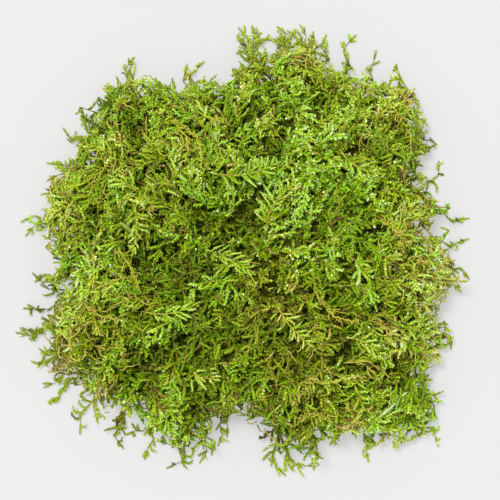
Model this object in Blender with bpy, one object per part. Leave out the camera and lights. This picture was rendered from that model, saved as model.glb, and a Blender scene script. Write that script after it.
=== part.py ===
"""A clump of feather moss lifted from the ground and laid down flat.

The clump is a tangle of many creeping moss plants. Most of them are felted together
in one springy mat. Round its rim, and here and there on its crown, single plants
lie loose: green feather-shaped shoots, and dead tan ones that have lost their leaves.

Units are metres, +Z is up, and the clump rests on z = 0. Tables are in millimetres.
"""

import math
import random

import bmesh
import bpy
from mathutils import Vector
from mathutils.bvhtree import BVHTree

MM = 0.001

# Driving dimensions of the mat, in millimetres.
CROWN_HEIGHT = 33.0
EDGE_HEIGHT = 5.0
SOLE_SHARE = 0.88
FOOT_SHARE = 0.955
FOOT_HEIGHT = 1.5
SHOULDER_POWER = 3.0
TOOTH_DEPTH = 2.0
SEAM_SOFTNESS = math.radians(2.5)
RINGS = 26

# Locks of shoots that stand up from the mat as rounded tufts.
TUFT_COUNT = 80
TUFT_STRAY = 1.5
TUFT_RADIUS = 8.0
TUFT_RISE = (2.5, 5.5)
TUFT_LEAN = 0.45

# A loose shoot's own sizes. The edge runs round its outline and the ridge along its middle.
STEM_HALF_WIDTH = 0.55
BRANCH_HALF_WIDTH = 0.85
SHOOT_THICKNESS = 1.5
BRANCH_SPACING = 3.3
BRANCH_ANGLE = math.radians(52.0)
BRANCH_WAIST = 0.62
TUCK_UNDER = 1.2
DROOP = 2.4
REST_GAP = 0.45
SETTLE_STEP = 0.25
BRIDGED_SPAN = 3.0

# The patches that grew together into the mat: x, y, radius.
PATCHES = [
    (0, 0, 56),
    (19, 59, 13),
    (7, 54, 13),
    (-16, 45, 15),
    (-34, 42, 20),
    (-40, 30, 19),
    (-55, 13, 17),
    (-51, -6, 15),
    (-54, -31, 16),
    (-38, -43, 19),
    (-23, -54, 17),
    (-2, -44, 17),
    (18, -57, 15),
    (35, -54, 17),
    (54, -56, 15),
    (58, -34, 15),
    (59, -10, 17),
    (51, 14, 17),
    (47, 41, 19),
    (32, 46, 17),
]

# Hummocks and hollows of the top: x, y, spread, rise.
RELIEF = [
    (30, 30, 15, 4.0),
    (19, 58, 11, 3.0),
    (-28, 40, 13, 3.5),
    (-50, 14, 11, 3.0),
    (-46, -28, 10, 3.5),
    (-20, -46, 12, 3.0),
    (24, -48, 12, 3.5),
    (58, -12, 10, 4.0),
    (6, -14, 12, 1.5),
    (-29, -4, 7, -10.0),
    (-6, 3, 6, -8.0),
    (1, 14, 5, -3.5),
    (-38, -40, 8, -7.5),
    (-20, -36, 7, -3.0),
    (-10, -25, 16, -1.5),
    (22, -22, 13, -1.2),
    (56, -49, 8, -6.5),
    (57, -23, 6, -6.0),
    (35, -38, 6, -7.0),
    (6, 43, 7, -5.5),
    (-12, -60, 6, -5.5),
    (12, -62, 5, -3.0),
]

# Loose green shoots round the rim: root x, y, tip x, y, sideways bow, reach of the
# branches, and the side they grow on (0 is both, 1 left, -1 right of the stem).
RIM_SHOOTS = [
    (8, 63, 0, 77, 1.5, 4.2, 0),
    (14, 64, 16, 78.5, -1.0, 3.8, 0),
    (21, 65, 24, 78, -1.0, 3.8, 0),
    (27, 60, 30, 74.5, -1.0, 3.4, 0),
    (39, 54, 38.5, 75, 1.0, 4.4, 0),
    (46, 55, 46.5, 68, -1.0, 3.4, 0),
    (58, 12, 70.5, 28, -2.0, 4.6, -1),
    (60, 14, 79, 9.5, 1.5, 4.2, 0),
    (62, 2, 79, 0.5, 1.0, 3.6, 0),
    (66, -5, 80, -10, 2.0, 3.6, 0),
    (62, -28, 76, -34, 1.0, 3.4, 0),
    (54, -56, 71, -68.5, -1.0, 3.8, 0),
    (44, -58, 46.5, -75, -1.0, 3.4, 0),
    (28, -60, 25.5, -77.5, -1.0, 3.4, 0),
    (14, -62, 23, -81, -3.5, 4.4, 1),
    (-6, -54, -9, -69, 1.0, 3.4, 0),
    (-12, -56, -14, -76, -1.0, 3.6, 0),
    (-20, -60, -23.5, -80, 1.5, 4.4, 0),
    (-30, -58, -33.5, -74.5, -1.0, 3.4, 0),
    (-40, -54, -45, -71, -2.0, 4.2, 0),
    (-52, -44, -60, -64.5, 1.5, 5.2, 0),
    (-56, -42, -68.5, -54, 1.0, 4.4, 0),
    (-60, -36, -74, -42.5, 1.0, 3.4, 0),
    (-60, -28, -79, -33, -1.0, 3.6, 0),
    (-54, -10, -76, -24, 1.5, 4.6, 0),
    (-56, -6, -73, -12, 1.0, 3.6, 0),
    (-62, 8, -77.5, 11, 1.0, 3.4, 0),
    (-54, 22, -67, 31, 1.0, 3.4, 0),
    (-50, 36, -63, 41, 1.0, 3.4, 0),
    (-36, 54, -42, 66.5, 1.0, 3.4, 0),
    (-16, 52, -18, 65.5, 1.0, 3.4, 0),
]

# Green shoots that lie over the mat, in the same terms.
CROWN_SHOOTS = [
    (-34, -23, -18, -21, -1.5, 3.4, 0),
    (-14, -1, 2, -8, 1.0, 3.4, 0),
    (-38, 15, -38, 0, 1.0, 3.4, 0),
    (-12, 26, 10, 28, -2.0, 5.0, 1),
    (8, 4, 16, 20, 2.0, 5.0, 1),
    (36, -32, 48, -38, 1.5, 3.4, 0),
    (12, -20, 22, -33, -1.0, 3.6, 0),
    (34, 34, 46, 26, -1.5, 3.4, 0),
]

# Dead tan shoots lying over the mat: thinner, crooked, with a few stubs left.
DRY_SHOOTS = [
    (-26, 44, -14, 30, 3.5, 3.4, 0),
    (-18, 50, -6, 45, -2.0, 3.4, 0),
    (36, -41, 49, -44, 2.5, 3.0, 0),
    (27, -18, 40, -26, -2.5, 3.4, 0),
    (44, -26, 53, -34, 2.0, 3.2, 0),
    (-45, -1, -37, -13, 1.5, 3.2, 0),
    (-57, -19, -44, -25, -2.0, 3.2, 0),
    (47, 9, 58, 3, 1.5, 3.2, 0),
    (18, -64, 29, -61, 2.0, 3.0, 0),
]

GREEN = (0.22, 0.34, 0.03, 1.0)
DEEP_GREEN = (0.12, 0.20, 0.025, 1.0)
TAN = (0.42, 0.33, 0.10, 1.0)


def clear_scene():
    for obj in list(bpy.data.objects):
        bpy.data.objects.remove(obj)


def matte_material(name, colour, roughness):
    material = bpy.data.materials.new(name)
    material.use_nodes = True
    shader = material.node_tree.nodes["Principled BSDF"]
    shader.inputs["Base Color"].default_value = colour
    shader.inputs["Roughness"].default_value = roughness
    shader.inputs["Metallic"].default_value = 0.0
    return material


def object_from(name, mesh_builder, material):
    """Turns a finished bmesh into a named object with outward normals."""
    bmesh.ops.recalc_face_normals(mesh_builder, faces=mesh_builder.faces)
    mesh = bpy.data.meshes.new(name)
    mesh_builder.to_mesh(mesh)
    mesh_builder.free()
    mesh.materials.append(material)
    obj = bpy.data.objects.new(name, mesh)
    bpy.context.scene.collection.objects.link(obj)
    return obj


def patch_edge(angle):
    """How far the grown-together patches reach from the middle, in one direction."""
    total = 0.0
    for turn in (-SEAM_SOFTNESS, 0.0, SEAM_SOFTNESS):
        dx, dy = math.cos(angle + turn), math.sin(angle + turn)
        reach = 0.0
        for x, y, radius in PATCHES:
            along = dx * x + dy * y
            inside = radius**2 - (x * x + y * y - along * along)
            if inside > 0:
                reach = max(reach, along + math.sqrt(inside))
        total += reach / 3
    return total


def relief(x, y):
    """The broad hummocks and hollows, in millimetres of height."""
    total = 0.0
    for hx, hy, spread, rise in RELIEF:
        total += rise * math.exp(-((x - hx) ** 2 + (y - hy) ** 2) / (2 * spread**2))
    return total


def tuft_seeds(rng):
    """Tufts spread evenly over the mat, each a turn of the golden angle from the last."""
    golden = math.pi * (3 - math.sqrt(5))
    seeds = []
    for index in range(TUFT_COUNT):
        share = math.sqrt((index + 0.5) / TUFT_COUNT) * 0.97
        angle = index * golden
        reach = patch_edge(angle) * share
        x = reach * math.cos(angle) + rng.uniform(-TUFT_STRAY, TUFT_STRAY)
        y = reach * math.sin(angle) + rng.uniform(-TUFT_STRAY, TUFT_STRAY)
        seeds.append((x, y, rng.uniform(*TUFT_RISE)))
    return seeds


def tuft_rise(x, y, tufts):
    """The height that the nearest tufts add at a place, highest one wins."""
    best = 0.0
    for tx, ty, rise in tufts:
        near = 1 - ((x - tx) ** 2 + (y - ty) ** 2) / TUFT_RADIUS**2
        if near > 0:
            best = max(best, rise * near**1.5)
    return best


def build_mat(material):
    """The felted mat: a lobed pad with a ragged rim, tufts on top and a flat sole."""
    rng = random.Random(11)
    tufts = tuft_seeds(rng)
    builder = bmesh.new()

    def top_point(share, angle, tooth):
        reach = patch_edge(angle) * share + tooth
        x, y = reach * math.cos(angle), reach * math.sin(angle)
        shoulder = math.sqrt(max(0.0, 1 - share**SHOULDER_POWER))
        swell = tuft_rise(x, y, tufts)
        height = (CROWN_HEIGHT - EDGE_HEIGHT + relief(x, y)) * shoulder
        height += EDGE_HEIGHT + swell * min(1.0, 3 * (1 - share))
        lean = TUFT_LEAN * swell * share
        x += lean * math.cos(angle)
        y += lean * math.sin(angle)
        return Vector((x, y, height)) * MM

    rings = [[builder.verts.new(top_point(0.0, 0.0, 0.0))]]
    for ring in range(1, RINGS + 1):
        share = ring / RINGS
        count = 6 * ring
        verts = []
        for step in range(count):
            tooth = 0.0
            if ring >= RINGS - 1:
                tooth = rng.uniform(-1, 1) * TOOTH_DEPTH * (ring - RINGS + 2) / 2
            angle = 2 * math.pi * step / count
            verts.append(builder.verts.new(top_point(share, angle, tooth)))
        rings.append(verts)
    for ring in range(1, RINGS + 1):
        inner, outer = rings[ring - 1], rings[ring]
        for step in range(6 * ring):
            sector, place = divmod(step, ring)
            a = outer[step]
            b = outer[(step + 1) % len(outer)]
            low = inner[(sector * (ring - 1) + place) % len(inner)]
            builder.faces.new((a, b, low))
            if place < ring - 1:
                following = inner[(sector * (ring - 1) + place + 1) % len(inner)]
                builder.faces.new((b, following, low))

    rim = rings[-1]
    foot, sole = [], []
    for step in range(len(rim)):
        angle = 2 * math.pi * step / len(rim)
        reach = patch_edge(angle)
        direction = Vector((math.cos(angle), math.sin(angle), 0))
        foot_point = direction * (reach * FOOT_SHARE) + Vector((0, 0, FOOT_HEIGHT))
        foot.append(builder.verts.new(foot_point * MM))
        sole.append(builder.verts.new(direction * (reach * SOLE_SHARE * MM)))
    for upper, lower in ((rim, foot), (foot, sole)):
        for step in range(len(rim)):
            after = (step + 1) % len(rim)
            builder.faces.new((upper[step], lower[step], lower[after], upper[after]))
    builder.faces.new(sole)
    return object_from("moss_mat", builder, material)


def bowed_path(row, count):
    """Points in millimetres along a stem that bows sideways from its root to its tip."""
    root, tip = Vector(row[0:2]), Vector(row[2:4])
    along = tip - root
    side = Vector((-along.y, along.x)).normalized()
    middle = (root + tip) / 2 + side * row[4] * 2
    points = []
    for index in range(count + 1):
        t = index / count
        points.append(root * (1 - t) ** 2 + middle * 2 * t * (1 - t) + tip * t**2)
    return points


def outside_part(points):
    """The stretch of a path from just under the mat's overhanging rim to the tip."""
    for index, point in enumerate(points):
        if math.hypot(*point) > patch_edge(math.atan2(point.y, point.x)) - TUCK_UNDER:
            return points[index:]
    return points[-2:]


def resampled(points, spacing):
    """The same path in even pieces, each about as long as the spacing."""
    lengths = [0.0]
    for before, after in zip(points, points[1:]):
        lengths.append(lengths[-1] + (after - before).length)
    pieces = max(2, round(lengths[-1] / spacing))
    even = []
    for index in range(pieces + 1):
        wanted = lengths[-1] * index / pieces
        at = 0
        while at < len(points) - 2 and lengths[at + 1] < wanted:
            at += 1
        step = max(lengths[at + 1] - lengths[at], 1e-9)
        even.append(points[at].lerp(points[at + 1], (wanted - lengths[at]) / step))
    return even


class Feather:
    """One shoot as a closed solid: a tapered stem and its branches, ridged above and below."""

    def __init__(self, height_at, slimness, rng):
        self.builder = bmesh.new()
        self.height_at = height_at
        self.slim = slimness
        self.rng = rng

    def vertex(self, point, along, level):
        """A vertex over a point, at a level between 0, the shoot's underside, and 1."""
        lift = SHOOT_THICKNESS * self.slim * level
        z = self.height_at(point.x, point.y, along) + lift
        return self.builder.verts.new(Vector((point.x, point.y, z)) * MM)

    def edge(self, point, along):
        return self.vertex(point, along, 0.5)

    def ridge(self, point, along, fullness):
        """The pair of vertices above and below a point of the stem or of a branch."""
        top = self.vertex(point, along, 0.5 + fullness / 2)
        bottom = self.vertex(point, along, 0.5 - fullness / 2)
        return top, bottom

    def fan(self, ridge_a, ridge_b, edge):
        """One face above and one below, between two ridge points and an edge point."""
        self.builder.faces.new((ridge_a[0], ridge_b[0], edge))
        self.builder.faces.new((ridge_b[1], ridge_a[1], edge))

    def web(self, ridge, edge_a, edge_b):
        self.builder.faces.new((ridge[0], edge_a, edge_b))
        self.builder.faces.new((ridge[1], edge_b, edge_a))

    def branch(self, spine, root, along, way, forward, reach):
        """A side branch, and the edge points where it leaves and rejoins the stem."""
        lean = BRANCH_ANGLE * self.rng.uniform(0.94, 1.06)
        out = (forward * math.cos(lean) + way * math.sin(lean)).normalized()
        across = (forward - out * forward.dot(out)).normalized()
        half = BRANCH_HALF_WIDTH * self.slim
        stem = way * STEM_HALF_WIDTH * self.slim
        near = self.edge(root + stem - forward * half, along)
        far = self.edge(root + stem + forward * half, along)
        waist = root + out * reach * BRANCH_WAIST
        near_waist = self.edge(waist - across * half, along)
        far_waist = self.edge(waist + across * half, along)
        crest = self.ridge(waist, along, 0.9)
        tip = self.edge(root + out * reach, along)
        self.web(spine, near, near_waist)
        self.fan(spine, crest, near_waist)
        self.web(crest, near_waist, tip)
        self.web(crest, tip, far_waist)
        self.fan(spine, crest, far_waist)
        self.web(spine, far_waist, far)
        return near, far

    def grow(self, path, reach, side):
        """Builds stem and branches along a path and closes both ends."""
        last = len(path) - 1
        spines, edges = [], []
        for index, point in enumerate(path[:-1]):
            along = index / last
            forward = (path[index + 1] - path[max(index - 1, 0)]).normalized()
            left = Vector((-forward.y, forward.x))
            spine = self.ridge(point, along, 1.0 - 0.3 * along)
            pair = {}
            for way in (1, -1):
                if index == 0 or side == -way:
                    place = point + left * way * STEM_HALF_WIDTH * self.slim
                    single = self.edge(place, along)
                    pair[way] = (single, single)
                    continue
                swell = math.sin(math.pi * (0.25 + 0.6 * along))
                length = reach * swell * self.rng.uniform(0.75, 1.15)
                pair[way] = self.branch(spine, point, along, left * way, forward, length)
            spines.append(spine)
            edges.append(pair)
        for index in range(len(spines) - 1):
            for way in (1, -1):
                leaving, arriving = edges[index][way][1], edges[index + 1][way][0]
                self.web(spines[index], leaving, arriving)
                self.fan(spines[index], spines[index + 1], arriving)
        tip = self.edge(path[-1], 1.0)
        for way in (1, -1):
            self.web(spines[-1], edges[-1][way][1], tip)
        start, root = spines[0], edges[0]
        self.builder.faces.new((start[0], start[1], root[1][0]))
        self.builder.faces.new((start[0], root[-1][0], start[1]))
        return self.builder


def rim_shoot(name, row, material, rng):
    """A shoot that comes out from under the mat's rim and droops to the ground."""
    path = resampled(outside_part(bowed_path(row, 40)), BRANCH_SPACING)

    def height_at(_x, _y, along):
        return DROOP * along * (1 - along)

    builder = Feather(height_at, 1.0, rng).grow(path, row[5], row[6])
    return object_from(name, builder, material)


def mat_surface(mat):
    """The mat's surface, and its height round a place as a springy shoot bridges it."""
    tree = BVHTree.FromObject(mat, bpy.context.evaluated_depsgraph_get())

    def height(x, y):
        total = 0.0
        for side in ((0, 0), (1, 0), (-1, 0), (0, 1), (0, -1)):
            place = Vector((x, y)) + Vector(side) * BRIDGED_SPAN
            start = Vector((place.x, place.y, 3 * CROWN_HEIGHT)) * MM
            found = tree.ray_cast(start, Vector((0, 0, -1)))[0]
            total += found.z / MM if found else EDGE_HEIGHT
        return total / 5

    return tree, height


def lying_shoot(name, row, slimness, material, rng, mat_tree, mat_height):
    """A shoot that lies over the mat, raised in small steps until it is clear of it."""
    path = resampled(bowed_path(row, 24), BRANCH_SPACING)
    state = rng.getstate()

    def grown(lift):
        rng.setstate(state)
        feather = Feather(lambda x, y, _: mat_height(x, y) + lift, slimness, rng)
        return feather.grow(path, row[5], row[6])

    lift = 0.0
    while mat_tree.overlap(BVHTree.FromBMesh(grown(lift))):
        lift += SETTLE_STEP
    return object_from(name, grown(lift + REST_GAP), material)


def centre_on_ground(objects):
    """Hangs every piece on one empty, moved so that the clump's box is centred on the origin."""
    points = [vertex.co for obj in objects for vertex in obj.data.vertices]
    low = Vector(min(p[axis] for p in points) for axis in range(3))
    high = Vector(max(p[axis] for p in points) for axis in range(3))
    clump = bpy.data.objects.new("clump", None)
    clump.location = (-(low.x + high.x) / 2, -(low.y + high.y) / 2, -low.z)
    bpy.context.scene.collection.objects.link(clump)
    for obj in objects:
        obj.parent = clump


def main():
    clear_scene()
    living = matte_material("living moss", GREEN, 0.6)
    felt = matte_material("felted moss", DEEP_GREEN, 0.75)
    dead = matte_material("dead moss", TAN, 0.8)

    mat = build_mat(felt)
    tree, height = mat_surface(mat)
    objects = [mat]
    rng = random.Random(5)
    for number, row in enumerate(RIM_SHOOTS, 1):
        objects.append(rim_shoot(f"rim_shoot_{number:02d}", row, living, rng))
    for number, row in enumerate(CROWN_SHOOTS, 1):
        name = f"crown_shoot_{number:02d}"
        objects.append(lying_shoot(name, row, 1.0, living, rng, tree, height))
    for number, row in enumerate(DRY_SHOOTS, 1):
        name = f"dry_shoot_{number:02d}"
        objects.append(lying_shoot(name, row, 0.62, dead, rng, tree, height))
    centre_on_ground(objects)


main()
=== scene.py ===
# %% [markdown]
# # A clump of feather moss
#
# The real object is a springy mat of creeping moss, lifted from the ground and laid on
# a white table. From straight above it is a tangle of leafy branches a millimetre and a
# half wide, with dry tan strands between them and dark gaps where one looks deep in.
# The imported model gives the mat's outer shape. This script grows the moss in that shape.

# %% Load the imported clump
import math

import bmesh
import bpy
import numpy as np
from mathutils import Matrix, Vector, noise
from mathutils.bvhtree import BVHTree


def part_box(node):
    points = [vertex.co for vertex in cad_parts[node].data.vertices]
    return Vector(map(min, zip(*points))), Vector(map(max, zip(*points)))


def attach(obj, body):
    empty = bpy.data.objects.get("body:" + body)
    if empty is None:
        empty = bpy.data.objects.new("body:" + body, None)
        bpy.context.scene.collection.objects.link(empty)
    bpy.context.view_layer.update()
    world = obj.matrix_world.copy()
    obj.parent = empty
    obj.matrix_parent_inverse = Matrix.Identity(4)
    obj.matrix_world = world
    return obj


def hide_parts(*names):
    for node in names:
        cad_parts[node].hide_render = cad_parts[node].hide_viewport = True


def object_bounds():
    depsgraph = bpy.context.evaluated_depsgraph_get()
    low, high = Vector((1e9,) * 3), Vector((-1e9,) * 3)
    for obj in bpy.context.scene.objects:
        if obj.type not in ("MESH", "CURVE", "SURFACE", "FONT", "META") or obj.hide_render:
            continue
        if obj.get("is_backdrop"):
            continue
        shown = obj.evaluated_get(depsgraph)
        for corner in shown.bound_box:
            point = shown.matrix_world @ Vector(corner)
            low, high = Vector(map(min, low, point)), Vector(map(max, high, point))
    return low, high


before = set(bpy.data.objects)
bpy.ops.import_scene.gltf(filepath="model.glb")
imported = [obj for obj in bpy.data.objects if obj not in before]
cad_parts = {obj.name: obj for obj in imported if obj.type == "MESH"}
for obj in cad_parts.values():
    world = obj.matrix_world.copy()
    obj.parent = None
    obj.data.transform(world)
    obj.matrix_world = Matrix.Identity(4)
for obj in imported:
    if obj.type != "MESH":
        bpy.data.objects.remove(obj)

cad_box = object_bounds()
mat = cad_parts["moss_mat"]
MM = 0.001
SEED = 12
rng = np.random.default_rng(SEED)
print("nodes:", len(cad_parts), "box:", [round(v / MM, 1) for c in cad_box for v in c])

# %% [markdown]
# ## Where the photograph lies on the model
#
# The photograph was taken from straight above. The moss branches in it are four to five
# pixels wide and real ones about a millimetre and a half, so a pixel is 0.36 mm. One pixel
# of the photograph is where the part's own table of shoots has its zero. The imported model
# is centred on its box instead, so that pixel lies a little off the model's centre.

# %% Tie pixels to millimetres
PHOTO_SIDE = 500
PIXEL = 0.36 * MM
ZERO_PIXEL = (242.5, 246.5)
ZERO_PLACE = Vector((-1.1 * MM, 1.25 * MM, 0))


def from_table(x, y):
    """A place in the part's own table, in millimetres, as a place on the model."""
    return ZERO_PLACE + Vector((x, y, 0)) * MM


print("photo width:", round(PHOTO_SIDE * PIXEL / MM, 1), "mm")

# %% [markdown]
# ## The surface that the moss fills
#
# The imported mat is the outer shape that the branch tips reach. Blender's BVH tree answers
# two questions about it very quickly: what is the nearest point of the surface, and which
# way does the surface face there? Both are asked many thousands of times below, which is
# why a tree is built once, and the mesh isn't searched face by face.

# %% Build a search tree over the mat
surface = BVHTree.FromPolygons(
    [vertex.co for vertex in mat.data.vertices],
    [polygon.vertices for polygon in mat.data.polygons],
)
mat.data.calc_loop_triangles()
corners = np.array(
    [[mat.data.vertices[i].co[:] for i in t.vertices] for t in mat.data.loop_triangles]
)


def unit(vectors):
    """Vectors of length one in the same directions."""
    return vectors / np.maximum(np.linalg.norm(vectors, axis=-1, keepdims=True), 1e-12)


face_cross = np.cross(corners[:, 1] - corners[:, 0], corners[:, 2] - corners[:, 0])
face_area = np.linalg.norm(face_cross, axis=1) / 2
face_normal = face_cross / (2 * face_area[:, None])
print("mat faces:", len(corners), "area:", round(face_area.sum() / MM**2), "mm2")

# %% [markdown]
# ## Patches of colour and dark hollows
#
# A clump holds plants of several ages. Fresh green ones fill its right half, olive and
# straw-coloured ones its rim and a few patches, some neighbourhoods are paler or darker
# than others, and here and there the mat gapes open. A handful of soft round spots is
# enough to say where: each has a place, a size and a strength, and the spots simply add
# up. A painted map could say the same, but a short list is easier to read and to change.

# %% Describe the patches
# Each spot is x, y, spread in the table's millimetres, and a strength.
DRY_SPOTS = [
    (-45, 35, 12, 0.08), (-22, 38, 9, 0.10), (-67, 15, 9, 0.16), (-62, -30, 9, 0.18),
    (-40, -20, 9, 0.12), (-52, -48, 10, 0.12), (70, -12, 11, 0.18), (58, -38, 10, 0.10),
    (62, 10, 10, 0.10), (0, -60, 12, 0.10), (22, -40, 10, 0.10), (52, 46, 12, 0.16),
    (5, -15, 9, 0.12), (-28, 12, 10, 0.10), (62, -30, 9, 0.06), (30, -58, 10, 0.08),
    (-42, 63, 5, 0.35), (22, 68, 6, 0.22),
]
FRESH_SPOTS = [
    (37, 32, 16, 0.14), (17, 60, 12, 0.08), (20, 14, 18, 0.14), (-34, 48, 9, 0.12),
    (-46, -34, 10, 0.12), (-36, -52, 12, 0.08), (56, -50, 9, 0.12), (-18, 2, 10, 0.08),
]
PALE_SPOTS = [
    (70, -15, 12, 0.30), (-12, 14, 12, 0.14), (48, -66, 10, 0.16), (-42, 44, 14, -0.24),
    (-66, -36, 10, -0.12), (-66, 22, 9, -0.06), (30, 68, 9, -0.10), (18, 42, 10, 0.10),
    (18, 14, 12, 0.07), (48, -45, 12, 0.08), (-6, -16, 14, -0.10), (14, -44, 14, -0.17),
    (72, -8, 9, 0.12), (46, 14, 14, -0.06), (-52, 12, 14, -0.05), (-30, -16, 12, -0.06),
    (36, 20, 12, -0.06), (34, -16, 14, -0.08), (10, -68, 10, -0.40),
]
HOLLOWS = [
    (-28, -3, 6, 1.3), (-6, 2, 4, 1.1), (1, 14, 4, 0.7), (5, 42, 6, 0.5), (-20, 6, 3, 0.6),
    (-20, -36, 7, 0.5), (-38, -42, 9, 0.6), (56, -49, 8, 0.7), (57, -22, 6, 0.6),
    (35, -38, 6, 0.7), (-12, -60, 6, 0.7), (12, -62, 5, 0.5), (-10, -25, 18, 0.35),
    (22, -22, 14, 0.3),
]
print("dry, fresh, pale and hollow spots:", *map(len, (DRY_SPOTS, FRESH_SPOTS, PALE_SPOTS, HOLLOWS)))

# %% [markdown]
# ## Reading the patches at a place
#
# What a list of spots says about a place is a sum of bell curves, one for each spot.
# Between the spots real moss still varies without a pattern. Blender's noise gives that:
# values that change smoothly over a chosen distance, and are the same on every run.

# %% Read spots and noise at many places
def spots_at(spots, places):
    """How strongly a list of spots is felt at each of many places."""
    total = np.zeros(len(places))
    for x, y, spread, strength in spots:
        centre = from_table(x, y)
        away = (places[:, 0] - centre.x) ** 2 + (places[:, 1] - centre.y) ** 2
        total += strength * np.exp(-away / (2 * (spread * MM) ** 2))
    return total


def patchy(places, size, seed):
    """Smooth random values between about -1 and 1 that change over a given distance."""
    shift = Vector((seed * 7.3, seed * 3.1, seed * 5.7))
    return np.array([noise.noise(Vector(place) / size + shift) for place in places]) * 1.6


table_zero = np.array([from_table(0, 0)[:]])
print("dryness and hollowness at the table's zero:",
      *(round(spots_at(spots, table_zero)[0], 2) for spots in (DRY_SPOTS, HOLLOWS)))

# %% [markdown]
# ## Spreading the shoots
#
# Shoots have to cover the top and the sides evenly, or the eye sees clumps and bare
# stripes. Dart throwing does it: many places are drawn on the faces, each face in
# proportion to its area, and a place is kept only if no kept one is too near. Over the dark
# hollows the darts have to land further apart, which thins the moss there.

# %% Throw the darts
DARTS_PER_PLACE = 7
THINNING = 0.85


def throw_darts(spacing, lowest_facing, highest_facing=1.01, thinning=THINNING):
    """Evenly spread places on the faces of the mat that look up by the given amounts."""
    looks_up = face_normal[:, 2]
    weight = np.where((looks_up > lowest_facing) & (looks_up < highest_facing), face_area, 0)
    darts = int(DARTS_PER_PLACE * weight.sum() / spacing**2)
    face = rng.choice(len(corners), size=darts, p=weight / weight.sum())
    share = rng.dirichlet((1, 1, 1), size=darts)
    places = np.einsum("ij,ijk->ik", share, corners[face])
    room = spacing * (1 + thinning * np.clip(spots_at(HOLLOWS, places), 0, 1))
    kept = []
    for index in range(darts):
        away = np.sum((places[kept] - places[index]) ** 2, axis=1)
        if not kept or away.min() > room[index] ** 2:
            kept.append(index)
    return places[kept]


starts = throw_darts(6 * MM, 0.45)
print("places six millimetres apart:", len(starts))

# %% [markdown]
# ## A creeping stem
#
# A feather moss plant creeps: its stem starts deep in the felt, comes up to the light and
# runs on just under the surface, and its tip peeps out. A stem is built by walking: one
# step along the heading, then back onto the nearest point of the surface, then down by
# the depth wanted there. That keeps stems in the clump's shape on the top and on the
# sides alike.

# %% Walk a stem over the surface
STEM_STEPS = 12
WIGGLE = 0.24
WIGGLE_PACE = 1.15
RISE = 1.9
FACES_DOWN = -0.3
FEWEST_POINTS = 4


def creep(start, heading, length, deep, shallow, curl):
    """Points, headings and outward directions of a stem that follows the surface."""
    place, outward = Vector(start), surface.find_nearest(start)[1]
    phase = rng.uniform(0, 6.28)
    points, outwards = [], []
    for index in range(STEM_STEPS + 1):
        along = index / STEM_STEPS
        nearest, facing, _, _ = surface.find_nearest(place)
        if facing.z < FACES_DOWN and len(points) > FEWEST_POINTS:
            break
        outward = (outward * 0.6 + facing * 0.4).normalized()
        depth = shallow + (deep - shallow) * max(0.0, 1 - along * RISE) ** 1.5
        points.append(nearest - outward * depth)
        outwards.append(outward.copy())
        heading = (heading - outward * heading.dot(outward)).normalized()
        turning = curl + WIGGLE * math.sin(phase + WIGGLE_PACE * index)
        heading = (heading + outward.cross(heading) * turning).normalized()
        place = nearest + heading * (length / STEM_STEPS)
    points = np.array([p[:] for p in points])
    outwards = np.array([o[:] for o in outwards])
    headings = np.gradient(points, axis=0)
    headings /= np.linalg.norm(headings, axis=1)[:, None]
    return points, headings, outwards


trial = creep(starts[0], Vector((1, 0, 0)), 20 * MM, 6 * MM, 1 * MM, 0.1)
print("a trial stem ends at", (trial[0][-1] / MM).round(1))

# %% [markdown]
# ## A shoot that comes out of the side
#
# At the sides the mat's surface is steep, and a stem that followed it would run round the
# clump like a hoop. Real shoots push outwards there, and sag a little. So these stems
# leave the surface: the heading comes from the way the side faces, strays at random, and
# bends down and aside over the stem's length. Most of the stem stays inside the mat.

# %% Reach out of the side
SIDE_RISE = (-0.15, 0.35)
SIDE_STRAY = 0.65
SIDE_SWING = 0.3
SIDE_SAG = np.array((0, 0, -0.10))
ROOTED_SHARE = 0.85
LOWEST_STEM = 1.2 * MM


def reach_out(end, facing, length):
    """Points, headings and outward directions of a stem that comes out of the mat's side."""
    heading = Vector((facing[0], facing[1], 0)).normalized()
    heading = Vector((heading.x, heading.y, rng.uniform(*SIDE_RISE)))
    heading = unit(np.array(heading) + rng.uniform(-SIDE_STRAY, SIDE_STRAY, 3) * (1, 1, 0.25))
    share = np.linspace(0, 1, STEM_STEPS + 1)[:, None] - ROOTED_SHARE
    sway = np.cross(heading, (0, 0, 1)) * rng.normal(0, SIDE_SWING) + SIDE_SAG
    points = end + (heading * share + sway * share**2) * length
    points[:, 2] = np.maximum(points[:, 2], LOWEST_STEM)
    headings = unit(np.gradient(points, axis=0))
    outwards = unit(np.broadcast_to((0, 0, 1.0), points.shape) + 0.35 * np.array(facing))
    return points, headings, outwards


print("share of a side shoot inside the mat:", ROOTED_SHARE)

# %% [markdown]
# ## Notes on every branch
#
# There are about twenty thousand branches. None of them becomes an object. Each is only a
# row of numbers: where it starts, where it heads, which way and how far it curls, how long
# and wide it is and what colour it has. One function turns a whole table of such rows into
# one mesh, with array arithmetic, which takes seconds where a loop over leaves takes
# minutes. Blender's instances would be lighter still, but an exported model loses them.

# %% Set up the table of branches
PLACE_FIELDS = ("base", "heading", "curl", "up")
FIELDS = (*PLACE_FIELDS, "length", "leaf", "opening", "hue", "age")


class Sprigs:
    """A growing table of leafy branches and of the stems that carry them."""

    def __init__(self):
        self.rows = {field: [] for field in FIELDS}
        self.stems = []

    def add(self, **columns):
        count = len(columns["base"])
        for field in FIELDS:
            value = np.asarray(columns[field], dtype=float)
            width = 3 if field in PLACE_FIELDS else 1
            shape = (count, 3) if width == 3 else (count,)
            self.rows[field].append(np.broadcast_to(value, shape))

    def table(self):
        return {field: np.concatenate(self.rows[field]) for field in FIELDS}


print("columns:", ", ".join(FIELDS))

# %% [markdown]
# ## Bending a branch
#
# Real branches are curled, some like a hook. Each one here is a piece of a circle. It could
# be a Blender curve, but the formula of an arc is short, works on all branches at once, and
# keeps a branch's true length however much it curls.

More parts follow.
